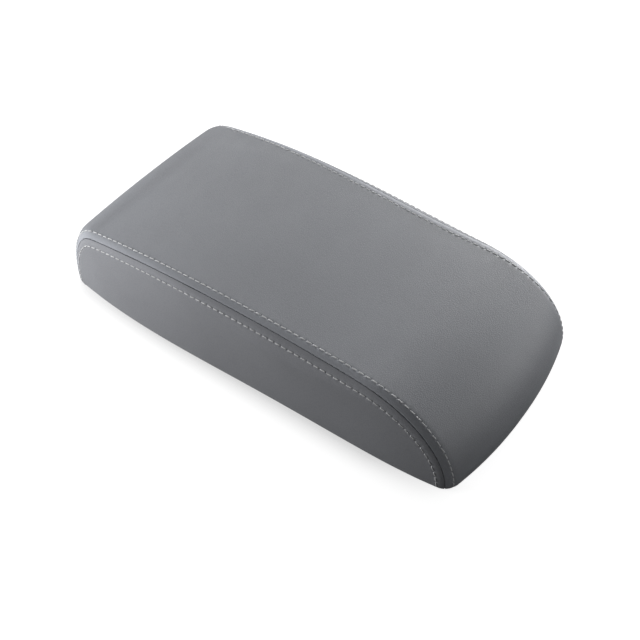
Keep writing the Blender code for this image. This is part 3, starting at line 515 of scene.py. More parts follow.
def rowPath(section, side):
    # points and outward directions along one row of stitches, from rear to front
    lengths = np.linspace(0.0, seamTotal, grid["rowSteps"])
    st = stationsAt(lengths)
    span = np.array([-grid["slopeSpan"], 0.0, grid["slopeSpan"]])
    points, across = [], []
    for i, offset in enumerate(rowOffsetAt(lengths, section)):
        found = alongSection(section(st, i, 0.0), offset + span)
        points.append(found[1])
        across.append(found[2] - found[0])
    points = np.array(points)
    outward = np.cross(np.gradient(points, axis=0), np.array(across))
    outward /= np.linalg.norm(outward, axis=1)[:, None]
    facing = outward[:, 0] * st["nx"] + outward[:, 1] * grid["sideWeight"] + outward[:, 2] * st["nz"]
    outward *= np.sign(facing)[:, None]
    mirror = np.array([1.0, side, 1.0])
    return points * mirror, outward * mirror, pathLengths(points), lengths


def rowPlan(section):
    # how many stitches a row has, and where its holes lie along the seam
    _, _, along, lengths = rowPath(section, 1.0)
    margin = sewing["endMargin"]
    count = round((along[-1] - 2.0 * margin) / sewing["pitch"])
    pitch = (along[-1] - 2.0 * margin) / count
    holes = margin + pitch * np.arange(count + 1)
    return {"count": count, "pitch": pitch, "holes": np.interp(holes, along, lengths), "section": section}


topRow = rowPlan(topSection)
sideRow = rowPlan(sideSection)
joinCount = round(seamTotal / sewing["joinPitch"])


def seamLengths(row):
    # rows of the cover's mesh along the seam: close at each hole and at the rim
    zone = grid["rimZone"]
    near = np.arange(0.0, zone, grid["nearRim"])
    middle = (row["holes"][:, None] + np.array(pitchMillimetres)[None, :] / 1000.0).ravel()
    middle = np.sort(middle[(middle > zone) & (middle < seamTotal - zone)])
    return np.concatenate([near, middle, seamTotal - near[::-1]])


def bell(distance, width):
    return np.exp(-((distance / width) ** 2))


def joinPull(lengths):
    # 1 at each joining stitch and -1 between two of them
    return np.cos(2.0 * math.pi * lengths / seamTotal * joinCount)[:, None]


def holeGap(lengths, row):
    # distance along the seam to the nearest hole
    return np.abs(lengths[:, None] - row["holes"][None, :]).min(axis=1)[:, None]


def sewnRelief(distance, lengths, row):
    # height of the cover over its smooth shape
    beyond = {"seam": distance, "row": distance - rowOffsetAt(lengths, row["section"])[:, None]}
    width = sewing["grooveHalfWidth"] * (1.0 + sewing["joinWiden"] * joinPull(lengths))
    height = -sewing["grooveDepth"] * bell(distance, width)
    for start, place, formWidth, rise in softForms:
        height = height + rise * bell(beyond[start] - place, formWidth)
    gap = holeGap(lengths, row)
    hole = bell(gap, sewing["holeLength"]) * bell(beyond["row"], sewing["holeWidth"])
    puff = np.cos(np.pi * np.clip(gap / (row["pitch"] / 2.0), 0.0, 1.0))
    puff = puff * bell(beyond["row"], sewing["puckerWidth"])
    return height - sewing["holeDepth"] * hole - sewing["puckerRise"] * puff


def paintedSeamShading(distance, lengths, row):
    # painted shade, darker in the groove and a little in the holes, and painted light, paler between the rows
    pull = joinPull(lengths)
    width = sewing["grooveHalfWidth"] * (sewing["grooveShade"] + sewing["joinWiden"] * pull)
    tone = leather["paintedGrooveTone"] + (leather["paintedJoinTone"] - leather["paintedGrooveTone"]) * np.clip(pull, 0.0, 1.0)
    groove = (1.0 - tone) * bell(distance, width)
    beyond = distance - rowOffsetAt(lengths, row["section"])[:, None]
    hole = bell(holeGap(lengths, row), sewing["holeShadeLength"]) * bell(beyond, sewing["holeShadeWidth"])
    paler = leather["topBandPaintedLight"] if row["section"] is topSection else leather["sideBandPaintedLight"]
    power = np.clip(beyond / leather["bandEdge"], -50.0, 50.0)  # in the exponential's range
    band = paler / (1.0 + np.exp(power))
    return (1.0 + band) * (1.0 - np.maximum(groove, leather["holeTone"] * hole))


# Sheets of the cover, and the body that two sheets close to

def levelled(directions):
    level = directions * np.array([1.0, 1.0, 0.0])
    return level / np.maximum(np.linalg.norm(level, axis=-1, keepdims=True), 1e-9)


def roundRim(points, outward):
    # draws the cover in at the rim by a small round
    radius = cover["rimRound"]
    low = np.clip(radius - points[..., 2], 0.0, radius)
    inset = radius - np.sqrt(np.maximum(radius**2 - low**2, 0.0))
    return points - levelled(outward) * inset[..., None]


def gridNormals(points, turn):
    normal = np.cross(np.gradient(points, axis=0), np.gradient(points, axis=1)) * turn
    return normal / np.maximum(np.linalg.norm(normal, axis=-1, keepdims=True), 1e-12)


class PanelMesh:
    # collects sheets of points and the strips that close them into one body
    def __init__(self):
        self.points, self.shades, self.faces, self.count, self.meeting = [], [], [], 0, []

    def addSheet(self, sheet, shades=None, onto=None):
        # onto: points that are there already, which the sheet starts from
        rows, columns = sheet.shape[:2]
        index = self.count + np.arange(rows * columns).reshape(rows, columns)
        self.points.append(sheet.reshape(-1, 3))
        self.shades.append(np.ones(rows * columns) if shades is None else shades.ravel())
        self.count += rows * columns
        if onto is not None:
            index = np.vstack([onto, index])
        else:
            self.meeting += [index[0], index[-1]]
        self.faces += gridFaces(index)
        return index

    def zipEdges(self, first, second):
        # fills the strip between two edges that have different numbers of points
        places = np.vstack(self.points)
        shares = []
        for edge in (first, second):
            steps = np.linalg.norm(np.diff(places[np.asarray(edge)], axis=0), axis=1) + 1e-9
            shares.append(np.concatenate([[0.0], np.cumsum(steps)]) / steps.sum())
        i = j = 0
        while i < len(first) - 1 or j < len(second) - 1:
            endOfSecond = j == len(second) - 1
            if endOfSecond or (i < len(first) - 1 and shares[0][i + 1] <= shares[1][j + 1]):
                self.faces.append([int(first[i]), int(first[i + 1]), int(second[j])])
                i += 1
            else:
                self.faces.append([int(first[i]), int(second[j + 1]), int(second[j])])
                j += 1

    def finish(self, name, material):
        mesh = newMesh(name, np.vstack(self.points).tolist(), self.faces)
        # per point painted shade and light beside the seam
        attribute = mesh.attributes.new("paintedSeamShading", "FLOAT", "POINT")
        attribute.data.foreach_set("value", np.concatenate(self.shades).astype(np.float32))
        mesh.materials.append(material)
        with editing(mesh) as bm:
            bm.verts.ensure_lookup_table()
            meeting = [bm.verts[int(k)] for row in self.meeting for k in row]  # where the wall runs out
            bmesh.ops.remove_doubles(bm, verts=meeting, dist=grid["meetDistance"])
            bmesh.ops.recalc_face_normals(bm, faces=bm.faces)
            if bm.calc_volume(signed=True) < 0.0:
                bmesh.ops.reverse_faces(bm, faces=bm.faces)
            reportMesh(name, bm)
        mesh.shade_smooth()
        return addPiece(name, mesh)


def hemRows(edge, smoothEdge, inward, height, shares):
    # carries a rim edge in under the skirt, to the cut edge of the turned-in cover
    target = smoothEdge + inward * cover["hemDepth"]
    target[..., 2] = height
    rows = []
    for share in shares:
        row = edge * (1.0 - share) + target * share
        row[..., 2] = height
        rows.append(row)
    return np.array(rows)


def liningHem(edge, inward):
    base = edge - inward * cover["thickness"]
    return hemRows(edge, base, inward, cover["thickness"], grid["liningHemShares"])


def liningOf(halfSheet):
    # the panel's inner face, a cover's thickness in
    lengths = np.linspace(0.0, seamTotal, int(seamTotal / grid["liningStep"]))
    lining, _ = halfSheet(lengths, bandDistances[grid["liningSkip"]:], cover["thickness"])
    lining = lining[:, ::2]
    lining[..., 2] = np.maximum(lining[..., 2], cover["thickness"])
    return lining


def topHalf(lengths, distances, depth):
    # one half of the top panel: rows along the seam, columns from the seam to the centre line
    st = stationsAt(lengths)
    count = grid["topColumns"]
    half = np.zeros((len(lengths), len(distances) + count, 3))
    reach = np.zeros(half.shape[:2])
    for i in range(len(lengths)):
        section = topSection(st, i, depth)
        rest = np.linspace(distances[-1], sectionLength(section), count + 1)[1:]
        reach[i] = np.concatenate([distances, rest])
        half[i] = alongSection(section, reach[i])
    return half, reach


def bothHalves(values, mirror=1.0):
    return np.concatenate([values * mirror, values[:, -2::-1]], axis=1)


def doubledEdges(values):
    return np.concatenate([values[:, :1], values, values[:, -1:]], axis=1)


def buildTopPanel(material):
    lengths = seamLengths(topRow)
    half, reach = topHalf(lengths, bandDistances, 0.0)
    smooth, reach = bothHalves(half, otherSide), bothHalves(reach)
    normal = gridNormals(smooth, 1.0)
    sheet = smooth + normal * sewnRelief(reach, lengths, topRow)[..., None]
    sheet[0, :, 2] = sheet[-1, :, 2] = 0.0
    sheet = roundRim(sheet, normal)
    # painted shade and light beside the seam, one value per point
    shades, smooth = doubledEdges(paintedSeamShading(reach, lengths, topRow)), doubledEdges(smooth)
    sheet, normal = doubledEdges(sheet), doubledEdges(normal)
    for edge in (0, -1):
        sheet[:, edge] -= normal[:, edge] * sewing["flapDepth"]
    lining = bothHalves(liningOf(topHalf), otherSide)
    liningNormal = gridNormals(lining, 1.0)
    outerEnds, liningEnds = [], []
    for row in (0, -1):
        outerEnds.append(hemRows(sheet[row], smooth[row], -levelled(normal[row]), 0.0, grid["hemShares"]))
        liningEnds.append(liningHem(lining[row], -levelled(liningNormal[row])))
    sheet = np.concatenate([outerEnds[0][::-1], sheet, outerEnds[1]], axis=0)
    lining = np.concatenate([liningEnds[0][::-1], lining, liningEnds[1]], axis=0)
    ends = len(grid["hemShares"])
    shades = np.concatenate([np.repeat(shades[:1], ends, 0), shades, np.repeat(shades[-1:], ends, 0)])
    panel = PanelMesh()
    outer = panel.addSheet(sheet, shades)
    inner = panel.addSheet(lining)
    for edge in (np.s_[0], np.s_[-1], np.s_[:, 0], np.s_[:, -1]):
        panel.zipEdges(outer[edge], inner[edge])
    return panel.finish("topCover", material)


def sideSheet(lengths, distances, depth):
    # a side panel's rows along the seam, columns from the seam down to the rim
    st = stationsAt(lengths)
    wall = grid["wallColumns"]
    ease = (1.0 - np.cos(np.linspace(0.0, math.pi, wall + 1)))[1:] / 2.0
    sheet = np.zeros((len(lengths), len(distances) + wall, 3))
    reach = np.zeros(sheet.shape[:2])
    for i in range(len(lengths)):
        section = sideSection(st, i, depth)
        total = sectionLength(section)
        squeeze = min(1.0, total / (distances[-1] * grid["narrowBelow"]))
        band = distances * squeeze
        reach[i] = np.concatenate([band, band[-1] + (total - band[-1]) * ease])
        sheet[i] = alongSection(section, reach[i])
    return sheet, reach


def rimLoop(index, sheet):
    # the side panel's edge that meets the rim: one end row, the bottom column, the other end row
    loop = np.concatenate([index[0, :-1], index[:, -1], index[-1, -2::-1]])
    edge = np.concatenate([sheet[0, :-1], sheet[:, -1], sheet[-1, -2::-1]])
    apart = np.concatenate([[True], np.linalg.norm(np.diff(edge, axis=0), axis=1) > mergeDistance])
    return loop[apart], edge[apart]


def wallFrom(row):
    # where a row's points start to fall together
    steps = np.linalg.norm(np.diff(row, axis=0), axis=1)
    return int(np.flatnonzero(steps > mergeDistance)[-1]) + 1


def loopInward(loop, side):
    ahead = np.gradient(loop, axis=0)
    inward = np.column_stack([ahead[:, 1], -ahead[:, 0], np.zeros(len(loop))]) * side
    size = np.linalg.norm(inward, axis=1)
    good = size > 1e-7
    for k in range(3):
        inward[:, k] = np.interp(np.arange(len(loop)), np.flatnonzero(good), inward[good, k] / size[good])
    return inward / np.linalg.norm(inward, axis=1)[:, None]


def buildSidePanel(name, side, material):
    mirror = np.array([1.0, side, 1.0])
    lengths = seamLengths(sideRow)
    half, reach = sideSheet(lengths, bandDistances, 0.0)
    smooth = half * mirror
    normal = gridNormals(smooth, side)
    sheet = smooth + normal * sewnRelief(reach, lengths, sideRow)[..., None]
    sheet[0, :, 2] = sheet[-1, :, 2] = sheet[:, -1, 2] = 0.0
    rows, columns = sheet.shape[:2]
    loop, _ = rimLoop(np.arange(rows * columns).reshape(rows, columns), sheet)
    loopTurn = loopInward(smooth.reshape(-1, 3)[loop], side)
    normal.reshape(-1, 3)[loop] = -loopTurn
    normal[0, wallFrom(sheet[0]):], normal[-1, wallFrom(sheet[-1]):] = normal[0, -1], normal[-1, -1]
    sheet = roundRim(sheet, normal)
    # painted shade and light beside the seam, one value per point
    shades = paintedSeamShading(reach, lengths, sideRow)
    shades = np.concatenate([shades[:, :1], shades], axis=1)
    flap = sheet[:, :1] - normal[:, :1] * sewing["flapDepth"]
    panel = PanelMesh()
    outer = panel.addSheet(np.concatenate([flap, sheet], axis=1), shades)
    edge, smoothEdge = sheet.reshape(-1, 3)[loop], smooth.reshape(-1, 3)[loop]
    hem = hemRows(edge, smoothEdge, loopTurn, 0.0, grid["hemShares"])
    outerHem = panel.addSheet(hem, onto=outer[:, 1:].ravel()[loop])
    lining = liningOf(sideSheet) * mirror
    inner = panel.addSheet(lining)
    liningLoop, liningEdge = rimLoop(inner, lining)
    innerHem = panel.addSheet(liningHem(liningEdge, loopInward(liningEdge, side)), onto=liningLoop)
    panel.zipEdges(outer[:, 0], inner[:, 0])
    panel.zipEdges(outerHem[-1], innerHem[-1])
    for end in (0, -1):
        outerStrip = np.concatenate([[outer[end, 0]], outerHem[:, end]])
        panel.zipEdges(outerStrip, innerHem[:, end])
    return panel.finish(name, material)


topLeather = makeLeather("grainedTop", "top")
sideLeather = makeLeather("grainedSide", "side")
topCover = buildTopPanel(topLeather)
leftCover = buildSidePanel("leftCover", 1.0, sideLeather)
rightCover = buildSidePanel("rightCover", -1.0, sideLeather)
for piece, node, slotName in (
    (topCover, "top_panel", "top_leather"),
    (leftCover, "left_side_panel", "side_leather"),
    (rightCover, "right_side_panel", "side_leather"),
):
    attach(piece, bodyOf[node])
    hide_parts(node)
print("cover panels sewn")


# Foam under the cover, with a channel where the seam is pulled down

foam = {
    "depth": 0.0015,
    "floorHeight": 0.0273,
    "step": 0.0025,
    "topColumns": 30,
    "sideColumns": 22,
    "channelDepth": 0.0011,
    "channelWidth": 0.0016,
    "mergeDistance": 4e-6,
    "colour": (0.56, 0.50, 0.36),
    "lowTone": (0.50, 0.44, 0.30),
    "highTone": (0.62, 0.56, 0.42),
    "roughness": 0.95,
    "specular": 0.2,
    "cellScale": 1400.0,
    "cellDepth": 0.0004,
    "patchScale": 30.0,
}


def foamSheet():
    lengths = np.linspace(0.0, seamTotal, int(seamTotal / foam["step"]))
    st = stationsAt(lengths)
    rows = []
    for i in range(len(lengths)):
        top = topSection(st, i, foam["depth"])
        side = sideSection(st, i, foam["depth"])
        topReach = np.linspace(0.0, sectionLength(top), foam["topColumns"])[1:]
        sideReach = np.linspace(0.0, sectionLength(side), foam["sideColumns"])[::-1]
        half = np.concatenate([alongSection(side, sideReach), alongSection(top, topReach)])
        sink = foam["channelDepth"] * bell(np.concatenate([sideReach, topReach]), foam["channelWidth"])
        outward = np.array([st["nx"][i], 0.0, st["nz"][i]]) * math.cos(st["tilt"][i])
        outward[1] = math.sin(st["tilt"][i])
        half = half - outward * sink[:, None]
        rows.append(np.concatenate([half * otherSide, half[-2::-1]]))
    return np.array(rows)


def buildFoam(material):
    sheet = foamSheet()
    index = np.arange(sheet.shape[0] * sheet.shape[1]).reshape(sheet.shape[:2])
    mesh = newMesh("foamPad", sheet.reshape(-1, 3).tolist(), gridFaces(index))
    mesh.materials.append(material)
    floorPlane = {"plane_co": Vector((0.0, 0.0, foam["floorHeight"])), "plane_no": Vector((0.0, 0.0, 1.0))}
    with editing(mesh) as bm:
        bmesh.ops.remove_doubles(bm, verts=bm.verts, dist=foam["mergeDistance"])
        everything = bm.verts[:] + bm.edges[:] + bm.faces[:]
        bmesh.ops.bisect_plane(bm, geom=everything, clear_inner=True, **floorPlane)
        bmesh.ops.holes_fill(bm, edges=[e for e in bm.edges if len(e.link_faces) == 1])
        bmesh.ops.recalc_face_normals(bm, faces=bm.faces)
        reportMesh("foamPad", bm)
    mesh.shade_smooth()
    return addPiece("foamPad", mesh)


def makeFoam():
    material, tree, shader, where = newMaterial(
        "openFoam", foam["colour"], foam["roughness"], specular=foam["specular"])
    cells = addNode(tree, "ShaderNodeTexVoronoi", (-4, -1), {"Vector": where, "Scale": foam["cellScale"]})
    addBump(tree, shader, cells.outputs["Distance"], 0.6, foam["cellDepth"])
    patch = addNoise(tree, where, foam["patchScale"], 3.0, 0.6, (-4, 3))
    feed(tree, shader, {"Base Color": addTint(tree, patch, foam["lowTone"], foam["highTone"])})
    return material


foamPad = buildFoam(makeFoam())
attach(foamPad, bodyOf["foam_pad"])
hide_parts("foam_pad")


# Thread: topstitches and joining stitches, set along their rows by Geometry Nodes

thread = {
    "topColour": (0.66, 0.665, 0.67),
    "joinColour": (0.030, 0.030, 0.032),
    "roughness": 0.62,
    "sheen": 0.3,
    "twistTurns": 3.0,   # turns of the ply along one stitch
    "strands": 2.0,
    "plyDepth": 0.00010,
    "plyStrength": 0.35,
    "fuzzScale": 900.0,
    "fuzzTones": (0.88, 1.10),
    "rings": 8,
    "sides": 7,
    "endTaper": 0.25,
    "flatness": 0.9,
}


def makeThread(name, colour):
    material, tree, shader, where = newMaterial(name, colour, thread["roughness"], sheen=thread["sheen"])
    ply = addNode(tree, "ShaderNodeUVMap", (-6, -2), uv_map="plyMap")
    parts = addNode(tree, "ShaderNodeSeparateXYZ", (-5, -2), {"Vector": ply.outputs["UV"]}).outputs
    turns = addMath(tree, "MULTIPLY", parts["X"], thread["twistTurns"], (-4, -2))
    around = addMath(tree, "MULTIPLY", parts["Y"], thread["strands"], (-4, -3))
    phase = addMath(tree, "ADD", turns, around, (-3, -2))
    phase = addMath(tree, "MULTIPLY", phase, 2.0 * math.pi, (-2, -2))
    wave = addMath(tree, "SINE", phase, 0.0, (-1, -2))
    wave = addMath(tree, "ABSOLUTE", wave, 0.0, (0, -2))
    addBump(tree, shader, wave, thread["plyStrength"], thread["plyDepth"])
    fuzz = addNoise(tree, where, thread["fuzzScale"], 2.0, 0.6, (-4, 2))
    tones = [scaled(colour, factor) for factor in thread["fuzzTones"]]
    feed(tree, shader, {"Base Color": addTint(tree, fuzz, *tones)})
    return material


def stitchModel(name, halfLength, radius, path, along):
    # a short bent thread: path gives its height at a share of the half length, along is its level axis
    rings, sides = thread["rings"], thread["sides"]
    points, maps = [], []
    for ring in range(rings + 1):
        share = -1.0 + 2.0 * ring / rings
        thin = radius * (1.0 - thread["endTaper"] * share**6)
        for side in range(sides):
            turn = 2.0 * math.pi * side / sides
            level = thin * math.cos(turn)
            spot = (share * halfLength, level) if along == "X" else (level, share * halfLength)
            points.append((*spot, path(share) + thin * thread["flatness"] * math.sin(turn)))
    for ring in range(rings):
        for side in range(sides):
            (u, v), (nextU, nextV) = (ring / rings, side / sides), ((ring + 1) / rings, (side + 1) / sides)
            maps += [(u, v), (u, nextV), (nextU, nextV), (nextU, v)]
    caps = [tuple(range(sides)), tuple(range(rings * sides, (rings + 1) * sides))]
    maps += [(0.0, 0.0)] * sides * len(caps)
    mesh = newMesh(name, points, ringFaces(rings, sides) + caps)
    plyMap = mesh.uv_layers.new(name="plyMap")
    for loop, spot in zip(plyMap.data, maps):
        loop.uv = spot
    with editing(mesh) as bm:
        bmesh.ops.recalc_face_normals(bm, faces=bm.faces)
    mesh.shade_smooth()
    return addPiece(name, mesh)


def newTree(name, *sockets):
    # every tree takes a path or points and a finish, and gives back plain geometry
    tree = bpy.data.node_groups.new(name, "GeometryNodeTree")
    for label, kind in (("Geometry", "Geometry"), *sockets, ("Finish", "Material")):
        tree.interface.new_socket(label, in_out="INPUT", socket_type="NodeSocket" + kind)
    tree.interface.new_socket("Geometry", in_out="OUTPUT", socket_type="NodeSocketGeometry")
    return tree, addNode(tree, "NodeGroupInput", (-8, 0)).outputs


def endTree(tree, given, geometry):
    real = addNode(tree, "GeometryNodeRealizeInstances", (2, 0), {"Geometry": geometry})
    values = {"Geometry": real.outputs["Geometry"], "Material": given["Finish"]}
    painted = addNode(tree, "GeometryNodeSetMaterial", (4, 0), values)
    addNode(tree, "NodeGroupOutput", (6, 0), {"Geometry": painted.outputs["Geometry"]})
    return tree


def turnAboutZ(tree, angle):
    level = addNode(tree, "ShaderNodeCombineXYZ", (-2, -4), {"Z": angle})
    turn = addNode(tree, "FunctionNodeEulerToRotation", (-1, -4), {"Euler": level.outputs["Vector"]})
    return turn.outputs["Rotation"]


def setModels(tree, given, points, rotation):
    model = addNode(tree, "GeometryNodeObjectInfo", (-1, -6), {"Object": given["Model"]})
    values = {"Points": points, "Instance": model.outputs["Geometry"], "Rotation": rotation}
    return addNode(tree, "GeometryNodeInstanceOnPoints", (1, 0), values).outputs["Instances"]


def makeRowTree():
    # path in, one stitch at each of Count even places, tied to the path's own upward direction
    tree, given = newTree(
        "stitchRow", ("Count", "Int"), ("Slant", "Float"), ("Slant spread", "Float"), ("Seed", "Int"),
        ("Model", "Object"))
    curve = addNode(tree, "GeometryNodeMeshToCurve", (-6, 0), {"Mesh": given["Geometry"]})
    values = {"Curve": curve.outputs["Curve"], "Count": given["Count"]}
    places = addNode(tree, "GeometryNodeCurveToPoints", (-5, 0), values, mode="COUNT").outputs
    values = {"Name": "upward"}
    upward = addNode(tree, "GeometryNodeInputNamedAttribute", (-5, -3), values, data_type="FLOAT_VECTOR")
    values = {"Vector": places["Tangent"]}
    ahead = addNode(tree, "FunctionNodeAlignRotationToVector", (-3, -1), values, axis="X")
    values = {"Rotation": ahead.outputs["Rotation"], "Vector": upward.outputs["Attribute"]}
    stand = addNode(tree, "FunctionNodeAlignRotationToVector", (-2, -1), values, axis="Z", pivot_axis="X")
    low = addMath(tree, "MULTIPLY", given["Slant spread"], -1.0, (-6, -5))
    values = {"Min": low, "Max": given["Slant spread"], "Seed": given["Seed"]}
    spread = addNode(tree, "FunctionNodeRandomValue", (-5, -5), values, data_type="FLOAT")
    slant = addMath(tree, "ADD", given["Slant"], spread.outputs["Value"], (-3, -4))
    values = {"Rotation": stand.outputs["Rotation"], "Rotate By": turnAboutZ(tree, slant)}
    slanted = addNode(tree, "FunctionNodeRotateRotation", (0, -2), values, rotation_space="LOCAL")
    return endTree(tree, given, setModels(tree, given, places["Points"], slanted.outputs["Rotation"]))


def growPiece(name, base, tree, values):
    # runs a tree on a base mesh and keeps the result as a plain mesh
    modifier = base.modifiers.new("grow", "NODES")
    modifier.node_group = tree
    for item in tree.interface.items_tree:
        if item.in_out == "INPUT" and item.name in values:
            modifier[item.identifier] = values[item.name]
    graph = bpy.context.evaluated_depsgraph_get()
    grown = base.evaluated_get(graph)
    mesh = bpy.data.meshes.new_from_object(grown, preserve_all_data_layers=True, depsgraph=graph)
    mesh.name = name
    base.modifiers.remove(modifier)
    bpy.data.objects.remove(base, do_unlink=True)
    print(name, "faces:", len(mesh.polygons))
    return addPiece(name, mesh)


def pathPiece(name, paths):
    # several open paths in one mesh, each point with its upward direction
    points, edges, upward = [], [], []
    for places, ups in paths:
        first = len(points)
        points += places.tolist()
        upward += ups.tolist()
        edges += [(first + k, first + k + 1) for k in range(len(places) - 1)]
    mesh = newMesh(name, points, [], edges)
    attribute = mesh.attributes.new("upward", "FLOAT_VECTOR", "POINT")
    attribute.data.foreach_set("vector", np.array(upward, dtype=np.float32).ravel())
    return addPiece(name, mesh)


def stitchCentres(row, side):
    # the row's path from the middle of its first stitch to the middle of its last
    points, outward, along, _ = rowPath(row["section"], side)
    first = sewing["endMargin"] + row["pitch"] / 2.0
    at = np.linspace(first, first + row["pitch"] * (row["count"] - 1), grid["pathSteps"])
    return pointsAt(at, along, points), pointsAt(at, along, outward)


def joinCentres(side):
    # down in the groove, one place for each joining stitch
    at = np.linspace(0.5, joinCount - 0.5, grid["pathSteps"]) / joinCount * seamTotal
    st = stationsAt(at)
    lift = np.cos(st["tilt"])
    ups = np.column_stack([st["nx"] * lift, np.sin(st["tilt"]) * side, st["nz"] * lift])
    out = st["centreOut"] + st["radius"] * lift
    y = (st["centreY"] + st["radius"] * np.sin(st["tilt"])) * side
    return np.column_stack([st["x"] + st["nx"] * out, y, st["z"] + st["nz"] * out]), ups


def topstitchHeight(share):
    return sewing["stitchRise"] - sewing["stitchDip"] * abs(share) ** sewing["dipPower"]


def joinHeight(share):
    return -sewing["joinDepth"] + sewing["joinBend"] * share**2


rowTree = makeRowTree()
topThread = makeThread("paleThread", thread["topColour"])
joinThread = makeThread("darkThread", thread["joinColour"])
halfStitch = sewing["pitch"] * sewing["stitchShare"] / 2.0
topstitch = stitchModel("topstitch", halfStitch, sewing["threadRadius"], topstitchHeight, "X")
joinStitch = stitchModel("joinStitch", sewing["joinHalfSpan"], sewing["joinRadius"], joinHeight, "Y")
stitchPieces = []
for name, row, seed in (("topRowStitches", topRow, 3), ("sideRowStitches", sideRow, 7)):
    path = pathPiece(name + "Path", [stitchCentres(row, side) for side in (1.0, -1.0)])
    values = {"Count": row["count"], "Slant": sewing["slant"], "Slant spread": sewing["slantSpread"],
              "Seed": seed, "Model": topstitch, "Finish": topThread}
    stitchPieces.append(growPiece(name, path, rowTree, values))
joinPath = pathPiece("joinPath", [joinCentres(side) for side in (1.0, -1.0)])
values = {"Count": joinCount, "Slant": 0.0, "Slant spread": sewing["joinSlantSpread"], "Seed": 11,
          "Model": joinStitch, "Finish": joinThread}
stitchPieces.append(growPiece("joiningStitches", joinPath, rowTree, values))
for model in (topstitch, joinStitch):
    bpy.data.objects.remove(model, do_unlink=True)
for piece in stitchPieces:
    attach(piece, bodyOf["top_panel"])
print("rows stitched:", topRow["count"], sideRow["count"], "joins:", joinCount)


# Finishes of the hard parts

plastic = {"patchScale": 35.0, "roughnessSpread": 0.06, "tones": (0.90, 1.12), "grainStrength": 0.5}
metal = {
    "brushScale": (60.0, 1400.0, 1400.0),  # draw marks run along X
    "brushDepth": 0.00004,
    "brushStrength": 0.25,
    "patchScale": 90.0,
    "polish": 0.08,
    "dulling": 0.12,
    "stain": 0.12,
}


def makePlastic(name, colour, roughness, grainScale, grainDepth, specular=0.4):
    # moulded plastic with an eroded grain and a slight difference in gloss
    material, tree, shader, where = newMaterial(name, colour, roughness, specular=specular)
    grain = addNoise(tree, where, grainScale, 3.0, 0.6, (-4, -2))
    addBump(tree, shader, grain, plastic["grainStrength"], grainDepth)
    patch = addNoise(tree, where, plastic["patchScale"], 3.0, 0.6, (-4, 1))
    spread = plastic["roughnessSpread"]
    rough = addRange(tree, patch, *noiseSpan, roughness - spread, roughness + spread, (-2, 1))
    tones = [scaled(colour, factor) for factor in plastic["tones"]]
    feed(tree, shader, {"Roughness": rough, "Base Color": addTint(tree, patch, *tones)})
    return material


def makeMetal(name, colour, roughness):
    # pressed or turned metal with fine draw marks and faint stains
    material, tree, shader, where = newMaterial(name, colour, roughness, metallic=1.0)
    values = {"Vector": where, "Scale": metal["brushScale"]}
    stretch = addNode(tree, "ShaderNodeMapping", (-5, -2), values)
    marks = addNoise(tree, stretch.outputs["Vector"], 1.0, 2.0, 0.5, (-4, -2))
    addBump(tree, shader, marks, metal["brushStrength"], metal["brushDepth"])
    patch = addNoise(tree, where, metal["patchScale"], 4.0, 0.65, (-4, 1))
    low, high = roughness - metal["polish"], roughness + metal["dulling"]
    rough = addRange(tree, patch, 0.25, 0.75, low, high, (-2, 1))
    tint = addTint(tree, patch, scaled(colour, 1.0 - metal["stain"]), colour)
    feed(tree, shader, {"Roughness": rough, "Base Color": tint})
    return material


finishes = {
    "carrierPlastic": makePlastic("blackMoulding", (0.022, 0.022, 0.023), 0.55, 1500.0, 0.00005),
    "linerPlastic": makePlastic("greyLiner", (0.060, 0.061, 0.064), 0.62, 900.0, 0.00009),
    "latchPlastic": makePlastic("latchMoulding", (0.018, 0.018, 0.019), 0.42, 2200.0, 0.00003, 0.5),
    "nylon": makePlastic("naturalNylon", (0.72, 0.70, 0.63), 0.45, 1200.0, 0.00002, 0.5),
    "rubber": makePlastic("bufferRubber", (0.014, 0.014, 0.014), 0.78, 1800.0, 0.00004, 0.3),
    "zincSteel": makeMetal("zincPlate", (0.66, 0.66, 0.62), 0.34),
    "plainSteel": makeMetal("drawnSteel", (0.58, 0.57, 0.55), 0.28),
    "darkSteel": makeMetal("blackOxide", (0.16, 0.16, 0.165), 0.42),
}
for node, finish in (("lid_carrier", "carrierPlastic"), ("inner_panel", "linerPlastic")):
    for slotPlace in nodes[node].material_slots:
        slotPlace.material = finishes[finish]


# Hinge and latch: the solids' own shapes with their edges broken, as pressed and turned parts have them

edgeBreak = {  # node, width of the break, finish, slot
    "bracketPlate": ("hinge_bracket", 0.00025, "zincSteel", "zinc_steel"),
    "consoleLeaf": ("hinge_leaf", 0.00025, "zincSteel", "zinc_steel"),
    "hingePin": ("hinge_pin", 0.00030, "plainSteel", "steel"),
    "leftWasher": ("hinge_washer_left", 0.00020, "nylon", "nylon"),
    "rightWasher": ("hinge_washer_right", 0.00020, "nylon", "nylon"),
    "latchFrame": ("latch_housing", 0.00020, "darkSteel", "dark_steel"),
    "latchPin": ("latch_pin", 0.00025, "plainSteel", "steel"),
    "latchPaddle": ("latch_lever", 0.00035, "latchPlastic", "latch_plastic"),
}
edgeAngles = {"flat": 0.5, "sharp": 40.0, "smooth": 35.0}  # degrees


def brokenEdges(name, node, width):
    # a merged copy of the node's mesh, each sharp edge rounded over
    mesh = nodes[node].data.copy()
    mesh.name = name
    mesh.transform(nodes[node].matrix_world)
    with editing(mesh) as bm:
        bmesh.ops.remove_doubles(bm, verts=bm.verts, dist=mergeDistance)
        flat, sharpFrom = math.radians(edgeAngles["flat"]), math.radians(edgeAngles["sharp"])
        bmesh.ops.dissolve_limit(bm, angle_limit=flat, verts=bm.verts, edges=bm.edges)
        sharp = [edge for edge in bm.edges if edge.calc_face_angle(0.0) > sharpFrom]
        bmesh.ops.bevel(
            bm, geom=sharp, offset=width, segments=2, profile=0.5, affect="EDGES", clamp_overlap=True)
        reportMesh(name, bm)
    smoothByAngle(mesh, edgeAngles["smooth"])
    return addPiece(name, mesh)


